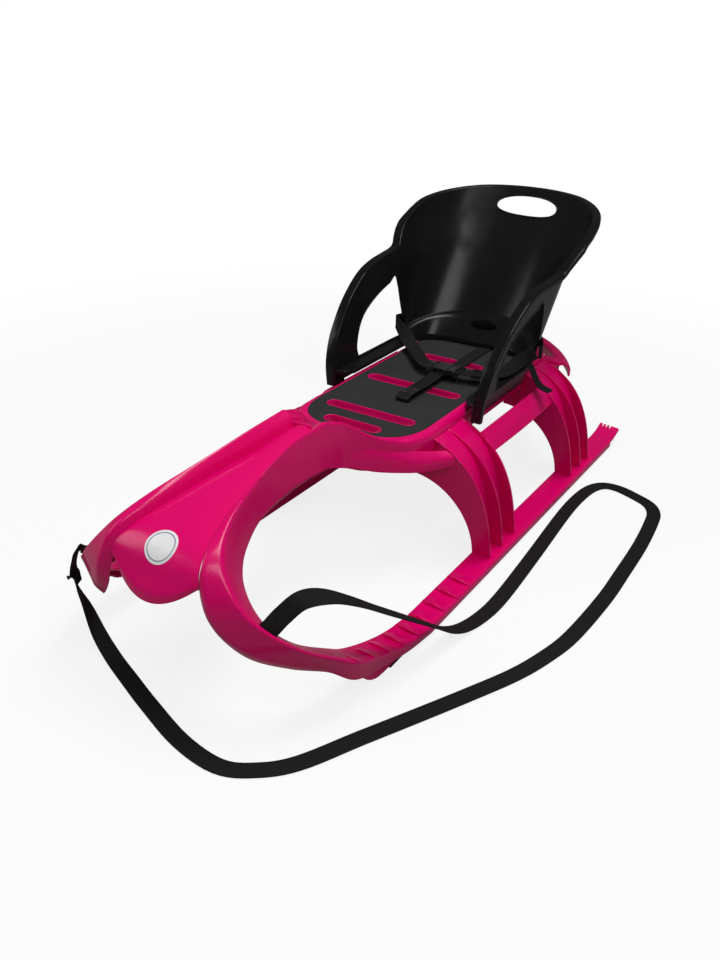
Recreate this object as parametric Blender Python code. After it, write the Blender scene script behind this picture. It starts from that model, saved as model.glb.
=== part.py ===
"""A moulded horn sled with a child seat, in metres, +Z up, riding towards -Y.

The origin is on the ground, midway along and across the sled. Left is the rider's left, at +X.
The real body is one moulding. Here it is the deck and two side frames, a hair's breadth apart.
"""
import math

import bmesh
import bpy
from mathutils import Vector

# Driving sizes of the body
SLED_LENGTH = 1.155
SLED_WIDTH = 0.450
RIDGE_HEIGHT = 0.300
WALL = 0.004
GAP = 0.0003
NECK_Y = -0.240
CROWN = 0.005

# Runner, an upside-down channel with a keel down its middle
RUNNER_WIDTH = 0.042
RUNNER_TOP = 0.018
RUNNER_CAMBER = 0.004
RUNNER_FOOT = 0.0045
RUNNER_CURVE_Y = -0.240
TAIL_LENGTH = 0.048
TAIL_LIFT = 0.010
KEEL_WIDTH = 0.015
TOOTH_WIDTH = 0.0035
TOOTH_DEPTH = 0.007
TOOTH_COUNT = 3

# Steel rail under each runner, and its screws
RAIL_WIDTH = 0.016
RAIL_THICK = 0.003
RAIL_FRONT_Y = -0.335
RAIL_REAR_Y = 0.548
RAIL_CURL = 0.010
SCREW_SHANK = 0.0044
SCREW_HEAD = 0.0088
SCREW_LENGTH = 0.0110
RAIL_SCREW_Y = (-0.285, 0.470)

# Steps on the runner for the rider's boots
STEP_COUNT = 9
STEP_FRONT_Y = -0.437
STEP_REAR_Y = -0.116
STEP_HEIGHT = 0.007
STEP_LENGTH = 0.026

# Legs, each of three ribs on a curved web; the ribs lean forward as they rise
LEG_RIB_Y = ((-0.024, 0.022, 0.070), (0.331, 0.379, 0.421))
LEG_LEAN = (0.034, 0.046)
LEG_HEIGHT = 0.190
RIB = 0.004
LEG_ARC_X = 0.100
LEG_ARC_Z = 0.030
LEG_RISE = 0.188
LEG_FOOT_INSET = 0.009
LEG_WEB = ((.134, .2185), (.150, .2070), (.163, .1915), (.175, .1700), (.184, .1400), (.191, .0950))
LEG_WEB_TOP = 0.2270
LEG_WEB_FOOT = 0.1965
ARCH_X = 0.075
ARCH_RISE = 0.121

# Deck
DECK_HEIGHT = 0.2365
DECK_WALL_X = 0.1165
DECK_WALL_FOOT = 0.196
LEG_WALL_FOOT = 0.139
LEG_WALL_SPARE = 0.006
RECESS = 0.0025
CAVITY_TOP = 0.2312

# Hand rail between the legs: inner foot, inner top, outer top and outer foot, across and up
SIDE_RAIL = ((.1505, .1800), (.1525, .2085), (.1660, .1935), (.1765, .1755))

# Rear hand rail, a round bow behind the seat
BOW_Y = 0.330
BOW_HALF_WIDTH = 0.186
BOW_REACH = 0.218
BOW_POWER = 1.5
BOW_WIDTH = 0.026
BOW_TOP = 0.2170
BOW_FOOT = 0.1920
BOW_ARM_RISE = 0.004
BOW_ARM_LENGTH = 0.022
BOW_ARM_GAP = 0.002
DECK_REAR_Y = 0.392

# Slots across the deck: middle and half length, each with a collar
SLOTS = ((-0.113, 0.050), (-0.060, 0.080), (0.078, 0.088), (0.221, 0.061))
SLOT_WIDTH = 0.021
COLLAR = 0.0018
COLLAR_DEPTH = 0.014

# Seat pad
PAD_HALF_WIDTH = 0.1045
PAD_FRONT_Y = -0.143
PAD_REAR_Y = 0.330
PAD_THICK = 0.0030
PAD_NOSE_DEPTH = 0.100

# Backrest shell
SHELL = 0.0035
SEAT_BASE = 0.2185
SEAT_FRONT_Y = 0.036
SEAT_HALF_WIDTH = 0.1345
SEAT_TOP = 0.500
BACK_FOOT_Y = 0.344
BACK_LEAN = 0.716
SILL_TOP = 0.2475
SILL_INNER_X = 0.109
ARM_FLANGE = 0.017
BACK_FLANGE = 0.014
LEDGE_FRONT_Y = 0.318
LEDGE_TOP = 0.286
HAND_HOLE_LENGTH = 0.126
HAND_HOLE_WIDTH = 0.036
HAND_HOLE_DROP = 0.030
SEAT_SCREW_Y = 0.346
SEAT_SCREW_SHANK = 0.005
SEAT_SCREW_HEAD = 0.012
SCREW_POCKET_FLOOR = 0.2535
NUT_WIDTH = 0.010
NUT_THICK = 0.005

# Webbing
WEBBING = 0.025
WEBBING_THICK = 0.0016
BELT_HEIGHT = 0.273

# Side release buckle and slide adjuster
BUCKLE_X = 0.020
BUCKLE_Y = 0.142
BUCKLE_BASE = 0.2492
SOCKET_LENGTH = 0.034
BUCKLE_WIDTH = 0.034
BUCKLE_HEIGHT = 0.0105
BUCKLE_WALL = 0.002
TONGUE_LENGTH = 0.022
PRONG_WIDTH = 0.006
PRONG_LENGTH = 0.022
BAR_INSET = 0.0038
BAR_LENGTH = 0.0024
BAR_THICK = 0.0026
SLIDER_LENGTH = 0.016
SLIDER_WIDTH = 0.031
SLIDER_BAR = 0.0018
SLIDER_SPOT = (0.0835, 0.1505)
SLIDE_WAY = Vector((math.cos(math.radians(20)), math.sin(math.radians(20)), 0.0))

# Pull strap
PULL_THICK = 0.0020
STOP_LENGTH = 0.0276
STOP_WIDTH = 0.0045
STOP_ROOM = 0.0026

HALF_LENGTH = SLED_LENGTH / 2
HALF_WIDTH = SLED_WIDTH / 2
RUNNER_INNER = HALF_WIDTH - RUNNER_WIDTH
RUNNER_MID = HALF_WIDTH - RUNNER_WIDTH / 2 + 0.001
PAD_SEAT = DECK_HEIGHT - RECESS
PAD_TOP = PAD_SEAT + GAP + PAD_THICK

# Rows down the horn, from the neck to the runner. Each row places the ridge, the edge of the side
# opening and the outer edge, as shares of half width, half length and ridge height.
HORN = (
    ((.178, .416, .997), (.196, .416, .747), (.098, .416, .967)),
    ((.173, .554, .990), (.191, .554, .763), (.120, .563, .937)),
    ((.218, .701, .947), (.218, .693, .740), (.178, .713, .907)),
    ((.293, .835, .887), (.276, .783, .677), (.244, .857, .860)),
    ((.391, .913, .803), (.351, .835, .623), (.324, .949, .793)),
    ((.498, .944, .710), (.444, .866, .577), (.382, .980, .667)),
    ((.613, .947, .613), (.551, .883, .527), (.453, .975, .533)),
    ((.733, .921, .523), (.649, .883, .477), (.600, .935, .400)),
    ((.867, .880, .443), (.738, .848, .403), (.764, .871, .317)),
    ((.956, .814, .353), (.800, .771, .307), (.889, .805, .260)),
)
# The rest of the way down: share of half length, rise of the runner's top above its straight part
RUN_DOWN = ((.736, .060), (.623, .030), (.519, .010))

# Deck rows: y, height on the middle line, then x and z of pad edge, shoulder and rim, skirt foot
DECK_ROWS = (
    (-.200, .264, (.027, .263), (.030, .2725), (.046, .285), .208),
    (-.170, .249, (.038, .2485), (.043, .2535), (.060, .262), .195),
    (-.140, .2385, (.072, .2385), (.077, .2395), (.085, .243), .189),
    (-.110, DECK_HEIGHT, (.097, DECK_HEIGHT), (.101, .2360), (.107, .2320), .184),
    (-.080, DECK_HEIGHT, (.106, DECK_HEIGHT), (.110, .2350), (.1155, .2300), .190),
    (-.050, DECK_HEIGHT, (.1075, DECK_HEIGHT), (.1125, .2345), (.1185, .2285), .196),
    (.180, DECK_HEIGHT, (.108, DECK_HEIGHT), (.113, .2345), (.1185, .2285), .196),
    (.370, DECK_HEIGHT, (.108, DECK_HEIGHT), (.113, .2345), (.1185, .2285), .196),
    (.384, DECK_HEIGHT, (.102, DECK_HEIGHT), (.108, .2345), (.1140, .2285), .196),
    (DECK_REAR_Y, .236, (.094, .236), (.099, .2335), (.1040, .2275), .196),
)

# Front hand rail, from the neck's skirt to the front leg: y, then x and z of its inner top, outer
# top and outer foot
FRONT_RAIL = (
    (-.146, (.0740, .2310), (.0815, .2135), (.0822, .1905)),
    (-.132, (.0885, .2260), (.1000, .2080), (.1010, .1870)),
    (-.110, (.1050, .2195), (.1190, .2020), (.1190, .1840)),
    (-.085, (.1210, .2145), (.1365, .2000), (.1355, .1825)),
    (-.068, (.1300, .2115), (.1475, .2000), (.1460, .1835)),
    (None, (.1385, .2095), (.1570, .2000), (.1550, .1850)),
)

# Side view of the seat's edge from foot to the middle of the back: along its plan, and height
ARM_EDGE = ((.036, .2190), (.036, .250), (.041, .273), (.053, .300), (.069, .322), (.089, .345),
            (.112, .365), (.140, .384), (.168, .397), (.204, .405), (.240, .408), (.275, .409),
            (.294, .410), (.302, .424), (.314, .434))
# Heights of the back's rim at even steps of the half ellipse, from the side to the middle
BACK_EDGE = (.450, .462, .472, .481, .488, .494, .4975, .4995, SEAT_TOP)
# Side window of the seat: along and up
WINDOW = ((.263, .361), (.234, .357), (.202, .349), (.172, .338), (.144, .323), (.127, .306),
          (.116, .284), (.112, .266), (.116, .252), (.124, .2495), (.262, .2495), (.276, .253),
          (.280, .262))

# Pull strap: points picked by hand along the middle of the webbing, near horn to far horn
PULL_ROUTE = (
    (.1489, -.5287, .1562), (.1535, -.5240, .1610), (.1620, -.5110, .1750), (.1780, -.4930, .1930),
    (.1970, -.4660, .1900), (.2120, -.4290, .1670), (.2230, -.3850, .1330), (.2350, -.3350, .0950),
    (.2450, -.2840, .0560), (.2520, -.2400, .0230), (.2590, -.1990, .0060), (.2670, -.1500, .0022),
    (.2690, -.0890, .0018), (.2620, .0430, .0018), (.2510, .2120, .0018), (.2510, .2900, .0018),
    (.2580, .3360, .0018), (.2740, .3600, .0018), (.3010, .3640, .0018), (.3360, .3520, .0018),
    (.3670, .3360, .0018), (.3850, .3110, .0018), (.3930, .2730, .0018), (.4010, .1840, .0018),
    (.4040, .0820, .0018), (.4050, -.0090, .0018), (.3980, -.1260, .0018), (.3840, -.1940, .0018),
    (.3640, -.2540, .0018), (.3310, -.3240, .0018), (.2950, -.3960, .0018), (.2540, -.4760, .0018),
    (.2140, -.5550, .0018), (.1780, -.5930, .0018), (.1360, -.6130, .0018), (.0690, -.6060, .0018),
    (-.0110, -.5790, .0018), (-.0650, -.5580, .0018), (-.1180, -.5370, .0030),
    (-.1580, -.5230, .0180), (-.1790, -.5200, .0520), (-.1890, -.5260, .0900),
    (-.1890, -.5280, .1200), (-.1800, -.5260, .1480), (-.1640, -.5220, .1630),
    (-.1535, -.5240, .1610), (-.1489, -.5287, .1562),
)


def clear_scene():
    for item in list(bpy.data.objects):
        bpy.data.objects.remove(item, do_unlink=True)


def material(name, colour, roughness, metallic=0.0):
    finish = bpy.data.materials.new(name)
    finish.use_nodes = True
    shader = finish.node_tree.nodes["Principled BSDF"]
    shader.inputs["Base Color"].default_value = (*colour, 1.0)
    shader.inputs["Roughness"].default_value = roughness
    shader.inputs["Metallic"].default_value = metallic
    return finish


def solid(name, points, faces, finish=None):
    """A closed mesh object whose faces point outwards."""
    mesh = bmesh.new()
    corners = [mesh.verts.new(point) for point in points]
    for face in faces:
        mesh.faces.new([corners[index] for index in face])
    bmesh.ops.recalc_face_normals(mesh, faces=mesh.faces)
    if mesh.calc_volume(signed=True) < 0:
        bmesh.ops.reverse_faces(mesh, faces=mesh.faces)
    bmesh.ops.triangulate(mesh, faces=mesh.faces)
    data = bpy.data.meshes.new(name)
    mesh.to_mesh(data)
    mesh.free()
    result = bpy.data.objects.new(name, data)
    bpy.context.scene.collection.objects.link(result)
    if finish:
        data.materials.append(finish)
    return result


def loft(name, sections, finish=None):
    """A skin over closed sections of equal point count, with flat caps."""
    count = len(sections[0])
    points = [point for section in sections for point in section]
    faces = [tuple(range(count)), tuple(range(len(points) - count, len(points)))]
    for row in range(len(sections) - 1):
        for column in range(count):
            here = row * count + column
            beside = row * count + (column + 1) % count
            faces.append((here, beside, beside + count, here + count))
    return solid(name, points, faces, finish)


def prism(name, outline, axis, low, high, finish=None):
    """An outline in the plane across one axis, drawn out along it from low to high."""
    def place(pair, level):
        spot = list(pair)
        spot.insert("xyz".index(axis), level)
        return tuple(spot)
    return loft(name, [[place(pair, level) for pair in outline] for level in (low, high)], finish)


def block(name, low, high, finish=None):
    outline = ((low[0], low[1]), (high[0], low[1]), (high[0], high[1]), (low[0], high[1]))
    return prism(name, outline, "z", low[2], high[2], finish)


def stadium(middle, half_length, width, sides=6):
    """A slot outline with round ends, lying along X."""
    radius = width / 2
    reach = half_length - radius
    outline = []
    for step in range(sides + 1):
        angle = -math.pi / 2 + math.pi * step / sides
        outline.append((middle[0] + reach + radius * math.cos(angle),
                        middle[1] + radius * math.sin(angle)))
    for step in range(sides + 1):
        angle = math.pi / 2 + math.pi * step / sides
        outline.append((middle[0] - reach + radius * math.cos(angle),
                        middle[1] + radius * math.sin(angle)))
    return outline


def turned(name, profile, centre, finish=None, sides=24):
    """A solid of revolution about an upright axis; profile is radius and height, foot to top."""
    sections = []
    for radius, height in profile:
        ring = []
        for step in range(sides):
            angle = 2 * math.pi * step / sides
            ring.append((centre[0] + radius * math.cos(angle),
                         centre[1] + radius * math.sin(angle), height))
        sections.append(ring)
    return loft(name, sections, finish)


def clean(item):
    """Drop the seams that Booleans leave in flat faces, and make triangles."""
    mesh = bmesh.new()
    mesh.from_mesh(item.data)
    bmesh.ops.remove_doubles(mesh, verts=mesh.verts, dist=0.000002)
    bmesh.ops.dissolve_degenerate(mesh, edges=mesh.edges, dist=0.000002)
    bmesh.ops.dissolve_limit(mesh, angle_limit=math.radians(0.4), verts=mesh.verts,
                             edges=mesh.edges)
    bmesh.ops.triangulate(mesh, faces=mesh.faces)
    mesh.to_mesh(item.data)
    mesh.free()


def combine(target, tool, operation, solver="EXACT"):
    """Apply one Boolean and delete its tool."""
    change = target.modifiers.new(operation, "BOOLEAN")
    change.operation = operation
    change.solver = solver
    change.object = tool
    bpy.context.view_layer.update()
    graph = bpy.context.evaluated_depsgraph_get()
    result = bpy.data.meshes.new_from_object(target.evaluated_get(graph), depsgraph=graph)
    target.modifiers.clear()
    target.data = result
    bpy.data.objects.remove(tool, do_unlink=True)
    clean(target)


def add(target, tool, solver="EXACT"):
    combine(target, tool, "UNION", solver)


def cut(target, tool):
    combine(target, tool, "DIFFERENCE")


def mirrored(source, name):
    """The same piece on the other side of the sled."""
    data = source.data.copy()
    data.name = name
    for corner in data.vertices:
        corner.co.x = -corner.co.x
    data.flip_normals()
    result = bpy.data.objects.new(name, data)
    bpy.context.scene.collection.objects.link(result)
    return result


def smooth(item, degrees=35):
    item.data.shade_smooth()
    item.data.set_sharp_from_angle(angle=math.radians(degrees))


def blend(first, second, share):
    return first + (second - first) * share


def curve_through(points, steps):
    """Points of a smooth curve that passes through the given ones, steps to each span."""
    marks = [Vector(point) for point in points]
    marks = [2 * marks[0] - marks[1]] + marks + [2 * marks[-1] - marks[-2]]
    result = []
    for span in range(1, len(marks) - 2):
        before, start, end, after = marks[span - 1:span + 3]
        for step in range(steps):
            t = step / steps
            result.append(0.5 * (2 * start + (end - before) * t
                                 + (2 * before - 5 * start + 4 * end - after) * t * t
                                 + (3 * start - before - 3 * end + after) * t ** 3))
    result.append(marks[-2])
    return result


def shell_section(outline, inwards, wall=WALL):
    """An open outline and the same one set inwards by the wall, as one closed loop."""
    legs = [(b - a).normalized() for a, b in zip(outline, outline[1:])]
    normals = [inwards(leg).normalized() for leg in legs]
    inner = []
    for index, point in enumerate(outline):
        first = normals[max(index - 1, 0)]
        second = normals[min(index, len(normals) - 1)]
        inner.append(point + (first + second) * (wall / (1 + first.dot(second))))
    return list(outline) + inner[::-1]


def horn_rows():
    """The band's three corners from the neck down to the runner's straight part."""
    rows = []
    for row in HORN:
        rows.append([Vector((across * HALF_WIDTH, -forward * HALF_LENGTH, up * RIDGE_HEIGHT))
                     for across, forward, up in row])
    for forward, rise in RUN_DOWN:
        rows.append(runner_row(-forward * HALF_LENGTH, rise))
    rows.append(runner_row(RUNNER_CURVE_Y, 0.0))
    return rows


def runner_row(y, rise):
    ridge = Vector((HALF_WIDTH, y, RUNNER_TOP + rise))
    hole = Vector((RUNNER_INNER, y + rise * 0.2, RUNNER_TOP + RUNNER_CAMBER + rise * 0.85))
    foot_z = RUNNER_TOP - (RUNNER_TOP - RUNNER_FOOT) * 0.5 + rise * 0.62
    return [ridge, hole, Vector((HALF_WIDTH - rise * 0.14, y, foot_z))]


def band():
    """Rows of five corners along the horn and runner: fold, hole edge, ridge, outer edge, fold."""
    rows = horn_rows()
    fine = [curve_through([row[corner] for row in rows], 2) for corner in range(3)]
    count = len(fine[0])
    result = []
    for index in range(count):
        ridge, hole, outer = (line[index] for line in fine)
        share = index / (count - 1)
        run = min(max((share - 0.45) / 0.35, 0.0), 1.0)
        side = (outer - ridge).normalized()
        down = (hole - ridge).normalized()
        step = blend((down + side * 0.5).normalized(), side, run).normalized()
        inner_fold = hole + side * blend(0.010, RUNNER_TOP + RUNNER_CAMBER - RUNNER_FOOT, run)
        outer_fold = outer + step * blend(0.020, (RUNNER_TOP - RUNNER_FOOT) * 0.5, run)
        result.append([inner_fold, hole, ridge, outer, outer_fold])
    return result


def tail_lift(y):
    start = HALF_LENGTH - TAIL_LENGTH
    share = max(0.0, (y - start) / TAIL_LENGTH)
    return TAIL_LIFT * share * share


def straight_rows():
    """Rows along the runner's straight part and its lifted tail, which has no side walls."""
    start = HALF_LENGTH - TAIL_LENGTH
    places = [(0.150, False), (start, False)]
    places += [(start + TAIL_LENGTH * share, True) for share in (0.01, 0.4, 0.7, 1.0)]
    rows = []
    for y, bare in places:
        top = RUNNER_TOP + tail_lift(y)
        hole_top = top + RUNNER_CAMBER
        foot, hole_foot = RUNNER_FOOT, RUNNER_FOOT
        if bare:
            foot, hole_foot = top - WALL * 1.1, hole_top - WALL * 1.1
        rows.append([Vector((RUNNER_INNER, y, hole_foot)), Vector((RUNNER_INNER, y, hole_top)),
                     Vector((HALF_WIDTH, y, top)), Vector((HALF_WIDTH, y, blend(top, foot, 0.5))),
                     Vector((HALF_WIDTH, y, foot))])
    return rows


def along(rows, index):
    before = rows[max(index - 1, 0)][2]
    after = rows[min(index + 1, len(rows) - 1)][2]
    if index == 0:
        return Vector((0, -1, 0))
    return (after - before).normalized()


def top_of_runner(y):
    """Ridge, hole edge and their height on the runner at one place along it."""
    rows = band()[12:] + straight_rows()
    for first, second in zip(rows, rows[1:]):
        if first[2].y <= y <= second[2].y:
            share = (y - first[2].y) / (second[2].y - first[2].y)
            return first[2].lerp(second[2], share), first[1].lerp(second[1], share)
    return rows[-1][2], rows[-1][1]


def boot_step(y):
    """One step: a crescent front face that slopes back into the runner's top."""
    sink = WALL * 0.5
    across = 7
    fronts, crests, backs = [], [], []
    for step in range(across):
        share = 0.04 + 0.92 * step / (across - 1)
        bow = 1 - (2 * share - 1) ** 2
        ridge, hole = top_of_runner(y)
        ridge_back, hole_back = top_of_runner(y + STEP_LENGTH)
        base = ridge.lerp(hole, share)
        base.y = y - 0.004 * bow
        rear = ridge_back.lerp(hole_back, share)
        rear.y = y + STEP_LENGTH
        fronts.append(base - Vector((0, 0, sink)))
        crests.append(base + Vector((0, 0, STEP_HEIGHT * bow)))
        backs.append(rear - Vector((0, 0, sink)))
    sections = [[front, crest, back] for front, crest, back in zip(fronts, crests, backs)]
    return loft("step", sections)


def arc_points(centre_x, centre_z, reach, rise, power, first, last, count):
    """Points of a superellipse quarter; first and last are shares from its top to its side."""
    points = []
    for step in range(count):
        angle = math.pi / 2 * (1 - blend(first, last, step / (count - 1)))
        x = centre_x + reach * abs(math.cos(angle)) ** (2 / power)
        z = centre_z + rise * abs(math.sin(angle)) ** (2 / power)
        points.append((x, z))
    return points


def leaning(y, lean, z):
    """Where a rib that stands at y on the runner has got to at a height."""
    share = min(max((z - RUNNER_TOP) / LEG_HEIGHT, 0.0), 1.0)
    return y - lean * (1 - (1 - share) ** 1.5)


def leg_sheet(name, outline, first, last, lean):
    """An outline across the sled, drawn out between two places on the runner, leaning forward."""
    return loft(name, [[(x, leaning(y, lean, z), z) for x, z in outline] for y in (first, last)])


def leg_rib(y, lean):
    """One rib of a leg: from the deck's wall out and down to the runner."""
    top_x = DECK_WALL_X + WALL / 2 + GAP
    foot_z = RUNNER_TOP - WALL / 2 + RUNNER_CAMBER / 2
    reach = HALF_WIDTH - LEG_FOOT_INSET - LEG_ARC_X
    outer = [point for point in arc_points(LEG_ARC_X, LEG_ARC_Z, reach, LEG_RISE, 2.3, 0, 1, 14)
             if point[0] > top_x + 0.001]
    arch_reach = RUNNER_INNER - ARCH_X
    inner = [point for point in arc_points(ARCH_X, LEG_ARC_Z, arch_reach, ARCH_RISE, 2.1, 0, 1, 10)
             if point[0] > top_x + 0.001]
    arch_share = (top_x - ARCH_X) / arch_reach
    arch_z = LEG_ARC_Z + ARCH_RISE * (1 - arch_share ** 2.1) ** (1 / 2.1)
    outline = [(top_x, LEG_WEB_TOP)] + outer + [(outer[-1][0], foot_z), (inner[-1][0], foot_z)]
    outline += inner[::-1] + [(top_x, arch_z)]
    return leg_sheet("rib", outline, y - RIB / 2, y + RIB / 2, lean)


def leg_web(first_y, last_y, lean):
    """The curved sheet that ties a leg's ribs, a little inside their outer edge."""
    top_x = DECK_WALL_X + WALL / 2 + GAP
    foot_z = RUNNER_TOP - WALL / 2 + RUNNER_CAMBER / 2
    middle = ((top_x, LEG_WEB_TOP),) + LEG_WEB + ((LEG_WEB_FOOT, foot_z),)
    outer = [Vector((x, 0, z)) for x, z in middle]
    loop = shell_section(outer, Vector((0, 1, 0)).cross)
    for index in (0, len(loop) - 1):
        loop[index].x = top_x
    for index in (len(outer) - 1, len(outer)):
        loop[index].z = foot_z
    return leg_sheet("web", [(point.x, point.z) for point in loop], first_y, last_y, lean)


def side_rail():
    """The hand rail between the legs, an open channel that runs from rib to rib."""
    row = [Vector((x, 0, z)) for x, z in SIDE_RAIL]
    loop = shell_section(row, Vector((0, 1, 0)).cross)
    sections = []
    for y, lean in ((LEG_RIB_Y[0][-1], LEG_LEAN[0]), (LEG_RIB_Y[1][0], LEG_LEAN[1])):
        sections.append([(point.x, leaning(y, lean, point.z), point.z) for point in loop])
    return loft("side_rail", sections)


def strap_slot(frame):
    """Cut the slot that the pull strap comes out of, square to the band."""
    start, way = Vector(PULL_ROUTE[1]), Vector(PULL_ROUTE[2]) - Vector(PULL_ROUTE[0])
    way.normalize()
    side = strap_side()
    up = side.cross(way).normalized()
    half_width = WEBBING / 2 + 0.0009
    half_thick = PULL_THICK / 2 + 0.0029
    sections = []
    for reach in (-0.016, 0.012):
        centre = start + way * reach
        sections.append([centre + side * half_width * a + up * half_thick * b
                         for a, b in ((-1, -1), (1, -1), (1, 1), (-1, 1))])
    cut(frame, loft("slot", sections))


def strap_side():
    """The width direction of the pull strap where it leaves the near horn."""
    rows = horn_rows()
    return (rows[7][2] + rows[7][1] - rows[6][2] - rows[6][1]).normalized()


def keel():
    """The rib under the runner that the rail lies on, swelling forward into a boss."""
    foot = RAIL_THICK + GAP
    end = HALF_LENGTH - TAIL_LENGTH - 0.004
    places = [RAIL_FRONT_Y - 0.085, RAIL_FRONT_Y - 0.055, RAIL_FRONT_Y - 0.020, -0.300, -0.262,
              RUNNER_CURVE_Y + 0.03, end]
    upper = []
    for y in places:
        ridge, hole = top_of_runner(y)
        upper.append((y, (ridge.z + hole.z) / 2 - WALL * 0.6))
    nose = RAIL_FRONT_Y - 0.017
    lower = [(end, foot), (nose, foot), (nose - 0.020, foot + 0.0032),
             (nose - 0.041, foot + 0.0147), (nose - 0.066, foot + 0.040)]
    half = KEEL_WIDTH / 2
    return prism("keel", upper + lower, "x", RUNNER_MID - half, RUNNER_MID + half)


def side_frame(finish):
    rows = band() + straight_rows()
    sections = []
    for index, row in enumerate(rows):
        way = along(rows, index)
        sections.append(shell_section(row, way.cross))
    frame = loft("side_frame_left", sections, finish)
    for tooth in range(TOOTH_COUNT):
        x = RUNNER_INNER + 0.006 + tooth * 0.0075
        cut(frame, block("tooth", (x, HALF_LENGTH - TOOTH_DEPTH, 0),
                         (x + TOOTH_WIDTH, HALF_LENGTH + 0.01, 0.08)))
    add(frame, keel())
    for number in range(STEP_COUNT):
        add(frame, boot_step(blend(STEP_FRONT_Y, STEP_REAR_Y, number / (STEP_COUNT - 1))))
    for ribs, lean in zip(LEG_RIB_Y, LEG_LEAN):
        leg = leg_web(ribs[0], ribs[-1], lean)
        for y in ribs:
            add(leg, leg_rib(y, lean))
        add(frame, leg)
    add(frame, side_rail())
    strap_slot(frame)
    for y in RAIL_SCREW_Y:
        hole = ((SCREW_SHANK / 2 + GAP, 0.0), (SCREW_SHANK / 2 + GAP, SCREW_LENGTH + GAP))
        cut(frame, turned("hole", hole, (RUNNER_MID, y)))
    smooth(frame)
    mirrored(frame, "side_frame_right")


def deck_rows(inset, top_drop):
    """Closed deck sections; inset and top_drop shrink them for the hollow underneath."""
    neck = band()[0]
    first = (NECK_Y + GAP, neck[3].z - 0.0065, (neck[3].x - 0.0015, neck[3].z - 0.0095),
             (neck[3].x + 0.0005, neck[3].z - 0.0005), (neck[2].x, neck[2].z - 0.0002), neck[1].z)
    sections = []
    for y, middle, pad, shoulder, rim, skirt in (first,) + DECK_ROWS:
        foot = skirt - (0.03 if inset else 0.0)
        half = [(0.0, middle - top_drop), (max(pad[0] - inset, 0.001), pad[1] - top_drop),
                (max(shoulder[0] - inset, 0.002), shoulder[1] - top_drop),
                (max(rim[0] - inset, 0.003), rim[1] - top_drop), (max(rim[0] - inset, 0.003), foot)]
        if not inset:
            half[4] = (rim[0] + (0.004 if y < NECK_Y + 0.01 else 0.0), foot)
        left = [(x, y, z) for x, z in half]
        right = [(-x, y, z) for x, z in half[:0:-1]]
        sections.append(left + right)
    return sections


def hood():
    """The crowned sheet between the two bands, from the neck down to the nose."""
    rows = band()
    marks = [(NECK_Y + 0.006, None)] + [(None, index) for index in range(10)]
    nose_drop = {8: (0.000, 0.003), 9: (-0.006, -0.004)}
    sections = []
    for y, index in marks:
        row = rows[index or 0]
        way = along(rows, index or 0)
        step = (row[4] - row[3]).normalized()
        clear = -way.cross(step).normalized() * GAP * 2
        edge = row[3] + step * 0.013 + clear
        if y:
            edge = Vector((edge.x - 0.0016, y, edge.z - 0.0012))
            step = Vector((0, 0, -1))
        forward, rise = nose_drop.get(index, (0.0, CROWN))
        upper, lower = [], []
        for part in range(-6, 7):
            share = part / 6
            bulge = 1 - share * share
            point = Vector((edge.x * share, edge.y + forward * bulge, edge.z + rise * bulge))
            sink = Vector((step.x * share * abs(share), step.y, step.z)).normalized() * WALL
            upper.append(point)
            lower.append(point + sink)
        sections.append(upper + lower[::-1])
    row = rows[9]
    step = (row[4] - row[3]).normalized()
    edge = row[3] + step * 0.013 - along(rows, 9).cross(step).normalized() * GAP
    upper, lower = [], []
    for part in range(-6, 7):
        share = part / 6
        bulge = 1 - share * share
        tip = Vector((edge.x * share * 0.93, blend(edge.y, -HALF_LENGTH, bulge),
                      edge.z - 0.006 - 0.022 * bulge))
        upper.append(tip)
        lower.append(tip + Vector((0, WALL * 0.9, -WALL * 0.3)))
    sections.append(upper + lower[::-1])
    return loft("hood", sections)


def front_rail(side):
    """The hand rail that grows out of the neck's skirt and ends at the front leg."""
    rows = []
    for y, top, fold, foot in FRONT_RAIL:
        inner = (top[0] - 0.0015, foot[1] + 0.003)
        row = []
        for x, z in (inner, top, fold, foot):
            place = leaning(LEG_RIB_Y[0][0], LEG_LEAN[0], z) - RIB / 2 - GAP if y is None else y
            row.append(Vector((x, place, z)))
        rows.append(row)
    sections = []
    for index, row in enumerate(rows):
        wall = min(WALL, (row[-1].x - row[0].x) * 0.3)
        loop = shell_section(row, along(rows, max(index, 1)).cross, wall)
        if index == len(rows) - 1:
            loop = [Vector((point.x, leaning(LEG_RIB_Y[0][0], LEG_LEAN[0], point.z) - RIB / 2 - GAP,
                            point.z)) for point in loop]
        sections.append([Vector((side * point.x, point.y, point.z)) for point in loop])
    return loft("front_rail", sections)


def bow_spot(angle, inset):
    """A place on the rear hand rail's plan, set in from its outer edge."""
    across, back = math.cos(angle), math.sin(angle)
    power = 2 / BOW_POWER
    spot = Vector((BOW_HALF_WIDTH * math.copysign(abs(across) ** power, across),
                   BOW_Y + BOW_REACH * back ** power, 0))
    slope = 2 - power
    out = Vector((math.copysign(abs(across) ** slope, across) / BOW_HALF_WIDTH,
                  back ** slope / BOW_REACH, 0)).normalized()
    return spot - out * inset


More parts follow.
